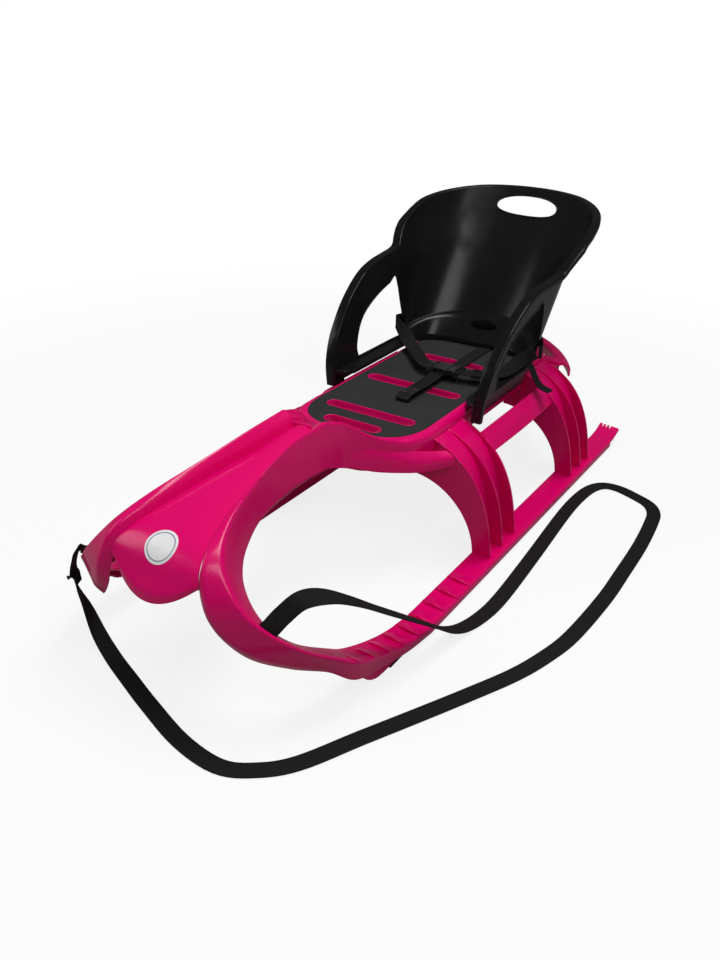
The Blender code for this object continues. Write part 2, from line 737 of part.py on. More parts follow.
def rear_rail():
    """The bow behind the seat: an open channel from one rear leg round to the other."""
    first = math.radians(23)
    count = 18
    rows = []
    for step in range(count + 1):
        angle = blend(first, math.pi - first, step / count)
        row = []
        for inset, height in ((BOW_WIDTH, BOW_FOOT + 0.004), (BOW_WIDTH, BOW_TOP - 0.002),
                              (BOW_WIDTH - 0.004, BOW_TOP), (0.008, BOW_TOP - 0.002),
                              (0.001, BOW_TOP - 0.010), (0.0, BOW_FOOT)):
            spot = bow_spot(angle, inset)
            row.append(Vector((spot.x, spot.y, height)))
        rows.append(row)
    sections = [shell_section(row, along(rows, max(index, 1)).cross)
                for index, row in enumerate(rows)]
    return loft("rear_rail", sections)


def deck(finish):
    body = loft("moulded_deck", deck_rows(0.0, 0.0), finish)
    hollow = deck_rows(WALL, DECK_HEIGHT - CAVITY_TOP)
    hollow[0] = [(x, y - 0.02, z) for x, y, z in hollow[0]]
    hollow[-1] = [(x, y - WALL, z) for x, y, z in hollow[-1]]
    cut(body, loft("hollow", hollow))
    add(body, hood())
    add(body, rear_rail())
    for side in (-1, 1):
        add(body, front_rail(side), "MANIFOLD")
        low, high = sorted((side * (DECK_WALL_X - WALL / 2), side * (DECK_WALL_X + WALL / 2)))
        for ribs, lean in zip(LEG_RIB_Y, LEG_LEAN):
            heights = (LEG_WALL_FOOT, DECK_WALL_FOOT + 0.002)
            leg_wall = [(leaning(ribs[0], lean, z) - LEG_WALL_SPARE, z) for z in heights]
            leg_wall += [(leaning(ribs[-1], lean, z) + LEG_WALL_SPARE, z) for z in heights[::-1]]
            add(body, prism("wall", leg_wall, "x", low, high))
        ends = sorted((side * 0.095, side * 0.150))
        add(body, bow_arm(*ends))
    for y in (0.010, 0.150, 0.300):
        add(body, block("rib", (-0.116, y - 0.0015, 0.208), (0.116, y + 0.0015, CAVITY_TOP + 0.001)))
    cut(body, prism("recess", pad_outline(GAP), "z", PAD_SEAT, 0.26))
    for middle, half in SLOTS:
        collar = stadium((0, middle), half + COLLAR, SLOT_WIDTH + 2 * COLLAR)
        add(body, prism("collar", collar, "z", DECK_HEIGHT - COLLAR_DEPTH, PAD_TOP - 0.0004))
    for middle, half in SLOTS:
        cut(body, prism("slot", stadium((0, middle), half, SLOT_WIDTH), "z", 0.20, 0.26))
    hole = ((SEAT_SCREW_SHANK / 2 + GAP, 0.2), (SEAT_SCREW_SHANK / 2 + GAP, 0.26))
    cut(body, turned("hole", hole, (0, SEAT_SCREW_Y), None, 12))
    smooth(body)


def bow_arm(low, high):
    """The sheet that ties the rear hand rail to the deck, behind the rear leg's last rib."""
    top = BOW_TOP + BOW_ARM_RISE
    foot = top - WALL * 2
    near = leaning(LEG_RIB_Y[1][-1], LEG_LEAN[1], foot) + RIB / 2 + BOW_ARM_GAP
    far = near + BOW_ARM_LENGTH
    outline = ((near, foot), (near, top), (far, top), (far, foot))
    return prism("bow_arm", outline, "x", low, high)


def pad_outline(spare):
    """Outline of the pad, drawn in to a blunt round front; spare widens it all round."""
    half = PAD_HALF_WIDTH + spare
    points = [(half, PAD_REAR_Y + spare)]
    for step in range(13):
        angle = math.pi / 2 * step / 12
        points.append((half * math.cos(angle) ** (2 / 2.5),
                       PAD_FRONT_Y + PAD_NOSE_DEPTH
                       - (PAD_NOSE_DEPTH + spare) * math.sin(angle) ** (2 / 2.5)))
    return points + [(-x, y) for x, y in points[-2::-1]]


def pad(finish):
    mat = prism("seat_pad", pad_outline(0.0), "z", PAD_SEAT + GAP, PAD_TOP, finish)
    for middle, half in SLOTS:
        room = COLLAR + GAP
        cut(mat, prism("slot", stadium((0, middle), half + room, SLOT_WIDTH + 2 * room), "z", 0.2, 0.3))


def seat_half_width(z):
    """Inner half width of the backrest at a height; it flares towards the top."""
    return SEAT_HALF_WIDTH + 0.09 * (z - 0.240) + 0.30 * max(0.0, z - 0.410)


def seat_plan(share, z):
    """Inner face of the back at a height; share runs from the side (0) to the middle (1)."""
    half = seat_half_width(z)
    rear = BACK_FOOT_Y + BACK_LEAN * (z - 0.240)
    start = 0.240 + 0.52 * (z - 0.240)
    angle = math.pi / 2 * share
    spot = Vector((half * math.cos(angle), start + (rear - start) * math.sin(angle), z))
    facing = Vector((math.cos(angle) / half, math.sin(angle) / (rear - start), 0)).normalized()
    return spot, facing


def seat_point(y, z):
    """The inner face at a place along and up, with the way it faces outwards."""
    start = seat_plan(0.0, z)[0].y
    if y <= start:
        return Vector((seat_half_width(z), y, z)), Vector((1, 0, 0))
    depth = seat_plan(1.0, z)[0].y - start
    share = math.asin(min((y - start) / depth, 1.0)) * 2 / math.pi
    return seat_plan(share, z)


def seat_edge():
    """The free edge from the left foot over the armrest and round to the back's middle."""
    edge = [seat_point(y, z) for y, z in ARM_EDGE]
    last = len(BACK_EDGE) - 1
    for index, z in enumerate(BACK_EDGE):
        edge.append(seat_plan(blend(0.32, 1.0, index / last), z))
    return edge


def back_wall():
    """The upright wall from one side round the back to the other, before it is trimmed."""
    levels = (SEAT_BASE, 0.28, 0.34, 0.41, 0.46, SEAT_TOP + 0.02)
    columns = []
    front = SEAT_FRONT_Y + 0.0008
    shares = [None, 0.5] + [step / 13 for step in range(14)]
    for share in shares:
        inner, outer = [], []
        for z in levels:
            if share is None or share == 0.5:
                start = seat_plan(0.0, z)[0].y
                y = front if share is None else blend(front, start, 0.5)
                spot, facing = Vector((seat_half_width(z), y, z)), Vector((1, 0, 0))
            else:
                spot, facing = seat_plan(share, z)
            inner.append(spot)
            outer.append(spot + facing * SHELL)
        columns.append(inner + outer[::-1])
    right = [[Vector((-point.x, point.y, point.z)) for point in column] for column in columns[-2::-1]]
    return loft("seat_shell", columns + right)


def rolled_edge():
    """The flange along the free edge, with its outer lip turned down."""
    half = seat_edge()
    edge = half + [(Vector((-spot.x, spot.y, spot.z)), Vector((-facing.x, facing.y, 0)))
                   for spot, facing in half[-2::-1]]
    lip = 0.0045
    sections = []
    count = len(edge)
    for index, (spot, facing) in enumerate(edge):
        way = edge[min(index + 1, count - 1)][0] - edge[max(index - 1, 0)][0]
        way = (way - facing * way.dot(facing)).normalized()
        down = way.cross(facing).normalized()
        arm = min(index, count - 1 - index) < len(ARM_EDGE)
        width = ARM_FLANGE if arm else BACK_FLANGE
        section = ((0.0006, -0.0012), (width, -0.0008), (width + 0.0012, 0.0006),
                   (width + 0.0008, SHELL + lip), (width - 0.0018, SHELL + lip),
                   (width - 0.0035, SHELL - 0.0012), (0.0008, SHELL - 0.0012))
        sections.append([spot + facing * out + down * drop for out, drop in section])
    return loft("flange", sections)


def ledge():
    """The slope at the foot of the back, from the pad up to the wall."""
    sections = []
    for step in range(-8, 9):
        share = 1 - abs(step) / 8 * 0.90
        angle = math.pi / 2 * share
        top = blend(SILL_TOP + 0.004, LEDGE_TOP, math.sin(angle) ** 0.8)
        sign = -1 if step < 0 else 1
        rear, facing = seat_plan(share, top)
        rear = rear + facing * (SHELL * 0.6)
        front = Vector((0.1145 * math.cos(angle) ** 0.5 if step else 0.0,
                        0.2 + (LEDGE_FRONT_Y - 0.2) * math.sin(angle) ** 0.5, 0))
        section = []
        way = Vector((rear.x - front.x, rear.y - front.y, 0)).normalized()
        for spot, reach, height in ((front, 0.0, PAD_TOP + 0.0008), (front, 0.0, SILL_TOP - 0.002),
                                    (front, 0.003, SILL_TOP + 0.0006), (rear, 0.0, top),
                                    (rear, 0.0, top - 0.0045), (front, 0.0048, SILL_TOP - 0.0035),
                                    (front, 0.0036, PAD_TOP + 0.0008)):
            point = Vector((spot.x, spot.y, 0)) + way * reach
            section.append(Vector((point.x * sign, point.y, height)))
        sections.append(section)
    return loft("ledge", sections)


def sill(side):
    inner, outer = side * SILL_INNER_X, side * (SEAT_HALF_WIDTH + 0.0012)
    outline = [(inner, 0.064), (inner + side * 0.010, 0.045), (outer, SEAT_FRONT_Y + 0.003),
               (outer, 0.250), (side * 0.1255, 0.276), (side * 0.1125, 0.262), (inner, 0.240)]
    return prism("sill", outline, "z", PAD_TOP + 0.0025, SILL_TOP)


def screw_cup():
    """Floor and rim of the lens shaped pocket round the seat's screw."""
    slope = (LEDGE_TOP - SILL_TOP) / (seat_plan(1.0, LEDGE_TOP)[0].y - LEDGE_FRONT_Y)
    rings = [[], []]
    for step in range(16):
        angle = 2 * math.pi * step / 16
        x, y = 0.0302 * math.cos(angle), SEAT_SCREW_Y + 0.0108 * math.sin(angle)
        top = SILL_TOP + slope * (y - LEDGE_FRONT_Y) - 0.0008
        rings[0].append((x, y, SCREW_POCKET_FLOOR - 0.003))
        rings[1].append((x, y, max(top, SCREW_POCKET_FLOOR + 0.001)))
    return loft("cup", rings)


def seat(finish):
    shell = back_wall()
    shell.data.materials.append(finish)
    edge = [(spot.y, spot.z) for spot, _ in seat_edge()]
    above = [(SEAT_FRONT_Y - 0.02, 0.7), (SEAT_FRONT_Y - 0.02, edge[0][1])] + edge
    above += [(edge[-1][0] + 0.05, edge[-1][1]), (edge[-1][0] + 0.05, 0.7)]
    cut(shell, prism("above", above, "x", -0.3, 0.3))
    cut(shell, block("under", (-0.3, 0.235, 0.2), (0.3, 0.6, DECK_HEIGHT + 0.0010)))
    cut(shell, block("under", (-0.3, 0.066, 0.2), (0.3, 0.240, 0.2250)))
    add(shell, rolled_edge())
    add(shell, ledge())
    for side in (-1, 1):
        add(shell, sill(side))
        ends = sorted((side * 0.10, side * 0.20))
        cut(shell, prism("window", WINDOW, "x", ends[0], ends[1]))
    hole = seat_plan(1.0, SEAT_TOP - HAND_HOLE_DROP)[0]
    outline = stadium((0, hole.z), HAND_HOLE_LENGTH / 2, HAND_HOLE_WIDTH, 8)
    cut(shell, prism("hand", outline, "y", hole.y - 0.035, hole.y + 0.05))
    add(shell, screw_cup())
    lens = [(0.027 * math.cos(math.pi * k / 8), SEAT_SCREW_Y + 0.0080 * math.sin(math.pi * k / 8))
            for k in range(16)]
    cut(shell, prism("lens", lens, "z", SCREW_POCKET_FLOOR, 0.30))
    radius = SEAT_SCREW_SHANK / 2
    boss = ((radius + 0.0035, DECK_HEIGHT + GAP), (radius + 0.0035, SCREW_POCKET_FLOOR - 0.001))
    add(shell, turned("boss", boss, (0, SEAT_SCREW_Y), None, 12))
    bore = ((radius + GAP, 0.2), (radius + GAP, SCREW_POCKET_FLOOR + 0.01))
    cut(shell, turned("hole", bore, (0, SEAT_SCREW_Y), None, 12))
    cut(shell, block("strap gate", (BUCKLE_X - WEBBING / 2 - 0.002, 0.30, 0.2),
                     (BUCKLE_X + WEBBING / 2 + 0.002, 0.335, PAD_TOP + 0.0042)))
    smooth(shell)


def fasteners(steel):
    for side, sign in (("left", 1), ("right", -1)):
        for place, y in zip(("front", "rear"), RAIL_SCREW_Y):
            profile = ((SCREW_HEAD / 2 - 0.0006, 0.0004), (SCREW_SHANK / 2, 0.0026),
                       (SCREW_SHANK / 2, SCREW_LENGTH - 0.002), (0.0008, SCREW_LENGTH))
            turned(f"rail_screw_{side}_{place}", profile, (sign * RUNNER_MID, y), steel, 16)
    floor = SCREW_POCKET_FLOOR + GAP
    head, shank = SEAT_SCREW_HEAD / 2, SEAT_SCREW_SHANK / 2
    top = CAVITY_TOP - GAP
    tip = top - NUT_THICK - 0.001
    profile = ((shank, tip), (shank, floor), (head, floor), (head, floor + 0.0016),
               (head * 0.6, floor + 0.0032), (head * 0.1, floor + 0.0036))
    turned("seat_screw", profile, (0, SEAT_SCREW_Y), steel)
    nut = turned("seat_nut", ((NUT_WIDTH / 2, top - NUT_THICK), (NUT_WIDTH / 2, top)),
                 (0, SEAT_SCREW_Y), steel, 6)
    bore = ((shank + GAP, 0.2), (shank + GAP, 0.25))
    cut(nut, turned("bore", bore, (0, SEAT_SCREW_Y)))


def rails(steel):
    """The strip, with its rear end curled up behind the runner's side wall."""
    low, high = RUNNER_MID - RAIL_WIDTH / 2, RUNNER_MID + RAIL_WIDTH / 2
    tail = HALF_LENGTH - TAIL_LENGTH + 0.0025
    outline = [(RAIL_FRONT_Y, 0.0), (tail, 0.0)]
    top = [(RAIL_FRONT_Y, RAIL_THICK), (tail - 0.001, RAIL_THICK)]
    reach = RAIL_REAR_Y - tail
    for step in range(1, 5):
        share = step / 4
        outline.append((tail + reach * share, (RAIL_CURL - RAIL_THICK) * share * share))
        top.append((tail - 0.001 + reach * share, RAIL_THICK + (RAIL_CURL - RAIL_THICK) * share * share))
    rail = prism("runner_rail_left", outline + top[::-1], "x", low, high, steel)
    for y in RAIL_SCREW_Y:
        profile = ((SCREW_HEAD / 2 + GAP, -0.001), (SCREW_HEAD / 2 + GAP, 0.0002),
                   (SCREW_SHANK / 2 + GAP, 0.0026), (SCREW_SHANK / 2 + GAP, 0.006))
        cut(rail, turned("hole", profile, (RUNNER_MID, y)))
    mirrored(rail, "runner_rail_right")


def ribbon(name, route, sides, width, thick, finish, steps=3):
    """Flat webbing along a smooth route; sides give its width direction at each point."""
    middle = curve_through(route, steps)
    across = curve_through(sides, steps)
    sections = []
    for index, point in enumerate(middle):
        way = (middle[min(index + 1, len(middle) - 1)] - middle[max(index - 1, 0)]).normalized()
        side = (across[index] - way * across[index].dot(way)).normalized()
        up = way.cross(side)
        sections.append([point + side * width / 2 * a + up * thick / 2 * b
                         for a, b in ((-1, -1), (1, -1), (1, 1), (-1, 1))])
    return loft(name, sections, finish)


def harness(webbing):
    flat = (0, 1, 0)
    upright = (0, 0.1, 1)
    lift = BUCKLE_BASE + BUCKLE_HEIGHT / 2
    socket_bar = BUCKLE_X - SOCKET_LENGTH / 2 + BAR_INSET
    tongue_bar = BUCKLE_X + SOCKET_LENGTH / 2 + TONGUE_LENGTH - BAR_INSET
    reach = BAR_LENGTH / 2 + GAP + WEBBING_THICK / 2
    left = ((socket_bar - reach, BUCKLE_Y, lift), (-.012, .145, .2540), (-.035, .166, .2530),
            (-.064, .198, .2525), (-.098, .230, .2560), (-.128, .2535, .2650),
            (-.1440, .2650, BELT_HEIGHT))
    sides = (flat, flat, (.5, .8, 0), (.6, .7, .1), (.5, .6, .4), (.2, .2, 1), upright)
    strap = ribbon("lap_strap_left", left, sides, WEBBING, WEBBING_THICK, webbing)
    fold_round_bar(strap, socket_bar)
    right = [(tongue_bar + reach, BUCKLE_Y, lift)]
    sides = [flat]
    across = Vector((0, 0, 1)).cross(SLIDE_WAY)
    for run in (-0.018, -0.008, 0.008, 0.018, 0.024):
        right.append(slide_point(run))
        sides.append(tuple(across))
    right += [(.1180, .1790, .2540), (.1210, .2060, .2550), (.1250, .2330, .2600),
              (.1350, .2530, .2670), (.1430, .2638, BELT_HEIGHT)]
    sides += [(-.75, .62, .1), (-.85, .2, .25), (-.7, .1, .7), (-.1, .1, 1), upright]
    strap = ribbon("lap_strap_right", right, sides, WEBBING, WEBBING_THICK, webbing)
    fold_round_bar(strap, tongue_bar)
    route = [(.1468, .2682, BELT_HEIGHT), (.1500, .276, BELT_HEIGHT)]
    for step in range(1, 14):
        share = step / 7
        spot, facing = seat_plan(min(share, 2 - share) * 0.86 + 0.14, BELT_HEIGHT)
        spot += facing * (SHELL + 0.0062)
        if share > 1:
            spot.x = -spot.x
        route.append((spot.x, spot.y + 0.004, spot.z))
    route += [(-.1500, .276, BELT_HEIGHT), (-.1468, .2682, BELT_HEIGHT)]
    ribbon("lap_strap_rear", route, [(0, 0, 1)] * len(route), WEBBING, WEBBING_THICK, webbing, 2)
    tail = ((.1356, .2517, .2509), (.1385, .2512, .2509), (.1450, .2485, .2478), (.1540, .2470, .2330),
            (.1640, .2445, .2225), (.1740, .2425, .2185), (.1870, .2410, .2160))
    sides = [(0, 1, 0)] * len(tail)
    ribbon("lap_strap_tail_left", tail, sides, WEBBING * 0.8, WEBBING_THICK, webbing)
    rest = PAD_TOP + GAP + WEBBING_THICK / 2
    x = BUCKLE_X
    crotch = ((x, .330, rest + 0.0006), (x, .290, rest + 0.0006), (x, .200, rest + 0.0004),
              (x, .120, rest), (x, .050, rest), (x, .016, rest + 0.0004), (x, .006, rest + 0.0042),
              (x, .014, rest + 0.0088), (x, .040, rest + 0.0092), (x, .075, rest + 0.0078),
              (x, .105, rest + 0.0086), (x, BUCKLE_Y - BUCKLE_WIDTH / 2 - 0.0005, rest + 0.0105))
    ribbon("crotch_strap", crotch, [(1, 0, 0)] * len(crotch), WEBBING, WEBBING_THICK, webbing, 3)


def pull_strap(webbing):
    start = strap_side()
    sides = []
    for index, point in enumerate(PULL_ROUTE):
        before = Vector(PULL_ROUTE[max(index - 1, 0)])
        after = Vector(PULL_ROUTE[min(index + 1, len(PULL_ROUTE) - 1)])
        way = (after - before).normalized()
        flat = Vector((0, 0, 1)).cross(way).normalized()
        near = max(0.0, 1 - index / 8)
        far = max(0.0, 1 - (len(PULL_ROUTE) - 1 - index) / 8)
        far_side = Vector((-start.x, start.y, start.z))
        sides.append(tuple(flat * (1 - near - far) - start * near + far_side * far))
    ribbon("pull_strap", PULL_ROUTE, sides, WEBBING, PULL_THICK, webbing, 2)


def strap_stops(finish):
    """Cross bars sewn into the strap's ends, too long to pass the slots."""
    start = Vector(PULL_ROUTE[0])
    way = (Vector(PULL_ROUTE[2]) - start).normalized()
    side = strap_side()
    up = side.cross(way).normalized()
    sections = []
    for reach in (-1, 1):
        centre = start + side * reach * STOP_LENGTH / 2 - way * (STOP_WIDTH / 2 + STOP_ROOM) - side * 0.0006
        ring = []
        for step in range(8):
            angle = 2 * math.pi * (step + 0.5) / 8
            ring.append(centre + (way * math.cos(angle) + up * math.sin(angle)) * STOP_WIDTH / 2)
        sections.append(ring)
    stop = loft("strap_stop_left", sections, finish)
    mirrored(stop, "strap_stop_right")


def fold_round_bar(strap, bar_x):
    """Fold the end of a lap strap round a buckle's bar."""
    middle = BUCKLE_BASE + BUCKLE_HEIGHT / 2
    low, high = BUCKLE_Y - WEBBING / 2, BUCKLE_Y + WEBBING / 2
    add(strap, bar_round("fold", bar_x, middle, GAP + WEBBING_THICK, low, high))
    cut(strap, bar_round("room", bar_x, middle, GAP, low - 0.001, high + 0.001))
    smooth(strap)


def bar_round(name, bar_x, middle, grow, low, high):
    """A bar across the buckle, grown all round by an amount."""
    return block(name, (bar_x - BAR_LENGTH / 2 - grow, low, middle - BAR_THICK / 2 - grow),
                 (bar_x + BAR_LENGTH / 2 + grow, high, middle + BAR_THICK / 2 + grow))


def slide_point(run):
    """A place on the straight stretch of the right lap strap, measured from the slider."""
    lift = BUCKLE_BASE + BUCKLE_HEIGHT / 2
    return Vector((SLIDER_SPOT[0], SLIDER_SPOT[1], lift)) + SLIDE_WAY * run


def move_origin(item, spot):
    """Put an object's origin at a place, with its mesh where it was."""
    for corner in item.data.vertices:
        corner.co -= Vector(spot)
    item.location = spot


def buckle(finish):
    x0 = BUCKLE_X - SOCKET_LENGTH / 2
    x1 = BUCKLE_X + SOCKET_LENGTH / 2
    y0, y1 = BUCKLE_Y - BUCKLE_WIDTH / 2, BUCKLE_Y + BUCKLE_WIDTH / 2
    z0, z1 = BUCKLE_BASE, BUCKLE_BASE + BUCKLE_HEIGHT
    middle = (z0 + z1) / 2
    wall = BUCKLE_WALL
    cheek = 0.003
    socket = block("buckle_socket", (x0, y0, z0), (x1, y1, z1), finish)
    cut(socket, block("mouth", (x0 + BAR_INSET * 2 + wall, y0 + wall, z0 + wall),
                      (x1 + 0.01, y1 - wall, z1 - wall)))
    for low, high in ((y0 - 0.01, y0 + wall + 0.001), (y1 - wall - 0.001, y1 + 0.01)):
        cut(socket, block("side", (x0 + 0.011, low, z0 + wall), (x1 - 0.008, high, z1 - wall)))
    cut(socket, block("eye", (x0 - 0.01, y0 + cheek, z0 - 0.01),
                      (x0 + BAR_INSET * 2, y1 - cheek, z1 + 0.01)))
    bevel_edges(socket, 0.0008)
    add(socket, bar_round("bar", x0 + BAR_INSET, middle, 0.0, y0 + 0.001, y1 - 0.001))
    tongue = block("buckle_tongue", (x1 + GAP, y0 + 0.001, z0 + 0.0006),
                   (x1 + TONGUE_LENGTH, y1 - 0.001, z1 - 0.0006), finish)
    blade = (BUCKLE_Y - 0.0045, BUCKLE_Y + 0.0045)
    add(tongue, block("blade", (x0 + 0.012, blade[0], z0 + wall + GAP * 2),
                      (x1 + 0.004, blade[1], z1 - wall - GAP * 2)))
    for low, high in ((y0 - 0.01, y0 + 0.0035), (y1 - 0.0035, y1 + 0.01)):
        cut(tongue, block("waist", (x1 + 0.005, low, z0 - 0.01), (x1 + 0.010, high, z1 + 0.01)))
    cut(tongue, block("eye", (x1 + TONGUE_LENGTH - BAR_INSET * 2, y0 + cheek + 0.0003, z0 - 0.01),
                      (x1 + TONGUE_LENGTH + 0.01, y1 - cheek - 0.0003, z1 + 0.01)))
    bevel_edges(tongue, 0.0006)
    add(tongue, bar_round("bar", x1 + TONGUE_LENGTH - BAR_INSET, middle, 0.0, y0 + 0.002, y1 - 0.002))
    for name, sign in (("buckle_prong_front", -1), ("buckle_prong_rear", 1)):
        base = BUCKLE_Y + sign * (BUCKLE_WIDTH / 2 - wall - GAP * 2)
        inner = base - sign * PRONG_WIDTH
        tip = x1 - PRONG_LENGTH
        barb = BUCKLE_Y + sign * BUCKLE_WIDTH / 2
        outline = ((x1 - GAP, base), (x1 - 0.0090, base), (x1 - 0.0102, barb),
                   (x1 - 0.0175, barb - sign * 0.0010), (tip, base - sign * 0.003),
                   (tip, inner), (x1 - GAP, inner))
        prong = prism(name, outline, "z", z0 + wall + GAP * 2, z1 - wall - GAP * 2, finish)
        move_origin(prong, (x1 - GAP, (base + inner) / 2, middle))


def slider(finish):
    """A slide of three bars: the strap runs under both end bars and over the middle one."""
    room = WEBBING / 2 + 2 * GAP
    level = WEBBING_THICK / 2 + GAP
    top = level + SLIDER_BAR
    end, side = SLIDER_LENGTH / 2, SLIDER_WIDTH / 2
    slide = block("strap_slider", (-end, -side, -top), (end, side, top), finish)
    for low, high in ((-end - 0.01, -SLIDER_BAR / 2), (SLIDER_BAR / 2, end + 0.01)):
        cut(slide, block("under", (low, -room, -top - 0.01), (high, room, level)))
    cut(slide, block("over", (-end + 2 * SLIDER_BAR, -room, -level),
                     (end - 2 * SLIDER_BAR, room, top + 0.01)))
    smooth(slide)
    slide.location = slide_point(0.0)
    slide.rotation_euler = (0, 0, math.atan2(SLIDE_WAY.y, SLIDE_WAY.x))


def bevel_edges(item, width):
    mesh = bmesh.new()
    mesh.from_mesh(item.data)
    bmesh.ops.dissolve_limit(mesh, angle_limit=math.radians(1), verts=mesh.verts, edges=mesh.edges)
    edges = [edge for edge in mesh.edges if edge.is_convex and len(edge.link_faces) == 2
             and edge.calc_face_angle(0) > 1.2 and edge.calc_length() > 4 * width]
    bmesh.ops.bevel(mesh, geom=edges, offset=width, segments=1, profile=0.5, affect="EDGES",
                    clamp_overlap=True)
    bmesh.ops.triangulate(mesh, faces=mesh.faces)
    mesh.to_mesh(item.data)
    mesh.free()


def build():
    clear_scene()
    body = material("pink polypropylene", (0.78, 0.0, 0.20), 0.25)
    shell = material("black polypropylene", (0.012, 0.012, 0.014), 0.22)
    rubber = material("grey pad", (0.045, 0.045, 0.045), 0.85)
    webbing = material("black webbing", (0.02, 0.02, 0.02), 0.8)
    plastic = material("black acetal", (0.015, 0.015, 0.015), 0.35)
    steel = material("dark steel", (0.16, 0.16, 0.17), 0.4, 0.9)
    side_frame(body)
    deck(body)
    pad(rubber)
    seat(shell)
    fasteners(steel)
    rails(steel)
    harness(webbing)
    pull_strap(webbing)
    strap_stops(plastic)
    buckle(plastic)
    slider(plastic)


build()
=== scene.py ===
"""Looks of a moulded horn sled with a child seat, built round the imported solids, in metres.

+Z up, riding towards -Y; left is the rider's left, at +X. The sled's moulding, seat, pad and harness
are modelled here with fine surfaces in the places that the solids hold.
"""
import math
import bmesh
import bpy
from mathutils import Matrix, Vector


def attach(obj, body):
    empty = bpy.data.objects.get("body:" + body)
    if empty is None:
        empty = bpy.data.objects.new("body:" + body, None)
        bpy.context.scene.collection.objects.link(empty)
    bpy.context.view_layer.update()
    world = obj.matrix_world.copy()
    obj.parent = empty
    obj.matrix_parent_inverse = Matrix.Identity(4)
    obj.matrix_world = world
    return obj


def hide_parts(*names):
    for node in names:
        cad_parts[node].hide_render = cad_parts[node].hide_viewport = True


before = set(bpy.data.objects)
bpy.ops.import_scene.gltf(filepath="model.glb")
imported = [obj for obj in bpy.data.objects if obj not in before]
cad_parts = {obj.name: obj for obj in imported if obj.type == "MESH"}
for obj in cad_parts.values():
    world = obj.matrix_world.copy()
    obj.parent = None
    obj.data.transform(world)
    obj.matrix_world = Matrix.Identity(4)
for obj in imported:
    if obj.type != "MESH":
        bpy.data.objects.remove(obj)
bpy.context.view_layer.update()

# Edges that turn by more degrees than this are shaded sharp
SHARP = 40

# Camera, as the photograph was taken
CAMERA_PLACE = (0.724, -1.238, 0.841)
CAMERA_YAW, CAMERA_PITCH, CAMERA_ROLL = 32.16, 27.74, 1.18
LENS, SENSOR = 35.1, 36

# Light: strength of the sky, and as gloss mirrors it; then each softbox's name, place, aim, size, power
SKY = 0.26
SKY_MIRRORED = 0.05
SOFTBOXES = (
    ("key", (1.5, -1.3, 2.3), (0.0, 0.0, 0.2), (1.3, 0.9), 15.0),
    ("fill", (-2.2, -1.4, 1.7), (0.0, 0.0, 0.2), (1.6, 1.4), 17.0),
    ("top", (0.55, 0.2, 2.7), (0.0, 0.1, 0.2), (1.5, 1.0), 38.0),
)
# Paper: half width, foot and top; its tone to all rays but the camera's, and its two tones to the
# camera; its glow at the sled, how much more it glows far off, and between which distances that grows
PAPER_REACH, PAPER_FOOT, PAPER_TOP = 40, -0.02, -0.0002
PAPER_UNSEEN = (0.28, 0.28, 0.28)
PAPER_TONES = ((0.925, 0.925, 0.925), (0.94, 0.94, 0.94))
PAPER_GLOW, PAPER_GLOW_MORE, PAPER_FADE = 0.82, 0.18, (0.75, 1.9)

# Body: overall sizes, the moulding's wall and the radius on its open lips
HALF_LENGTH = 0.5775
HALF_WIDTH = 0.225
RIDGE_HEIGHT = 0.300
WALL, LIP = 0.004, 0.0012
# Hood: where it starts, how far it is crowned, steps to each row of the horn and across, at which row
# it ends, how far down the band's fold its edge lies, and the rows of its nose
NECK_Y = -0.240
CROWN = 0.005
HOOD_STEPS, HOOD_ACROSS, HOOD_END, HOOD_EDGE, NOSE_STEPS = 8, 40, 4.5, 0.013, 14
# Runner, its lifted tail with three openings, the keel that the rail lies on, and the boot steps
RUNNER_INNER = 0.183
RUNNER_MID = 0.205
RUNNER_TOP = 0.018
RUNNER_CAMBER = 0.004
RUNNER_FOOT = 0.0045
RUNNER_CURVE_Y = -0.240
TAIL_LENGTH = 0.048
TAIL_LIFT = 0.010
TAIL_OPENINGS, TAIL_OPENING_Y = 3, 0.5705
TAIL_OPENING_PITCH, TAIL_OPENING_WIDTH = 0.0075, 0.0035
RAIL_FRONT_Y = -0.335
KEEL_FOOT, KEEL_HALF_WIDTH = 0.0033, 0.0075
KEEL_NOSE = ((0.0, 0.0), (0.020, 0.0032), (0.041, 0.0147), (0.066, 0.040))
STEP_COUNT = 9
STEP_FRONT_Y, STEP_REAR_Y = -0.437, -0.116
STEP_HEIGHT, STEP_LENGTH = 0.007, 0.026
# Deck, and what stiffens it from below
DECK_HEIGHT = 0.2365
DECK_WALL_X, DECK_WALL_HALF, DECK_WALL_Z = 0.1165, 0.002, (0.168, 0.198)
ARM_X, ARM_LENGTH, ARM_Z = (0.095, 0.150), 0.026, (0.213, 0.221)
STIFFENER_Y, STIFFENER_HALF = (0.010, 0.150, 0.300), 0.0015
# Legs: where the ribs stand, how far they lean and over what height; the ribs' thickness, outer curve,
# shoulder, arch and where they end under the deck; x and z down the web
LEG_RIB_Y = ((-0.024, 0.022, 0.070), (0.331, 0.379, 0.421))
LEG_LEAN = (0.034, 0.046)
LEG_HEIGHT = 0.190
RIB = 0.004
LEG_ARC = (0.080, 0.030)
LEG_RISE, LEG_POWER, LEG_INSET = 0.188, 2.62, 0.009
RIB_SHOULDER, SHOULDER_WIDTH = 0.006, 0.045
ARCH_X, ARCH_RISE, ARCH_POWER = 0.075, 0.121, 2.1
RIB_TOP_X = ARCH_X + 0.004
LEG_WEB = ((.1165, .2215), (.134, .2118), (.150, .2005), (.163, .1865), (.175, .1665),
           (.184, .1380), (.191, .0940), (.1965, .018))
# Steps along the hand rails between the legs, in front of them and behind the seat
RAIL_STEPS, FRONT_RAIL_STEPS, BOW_STEPS = 24, 36, 96
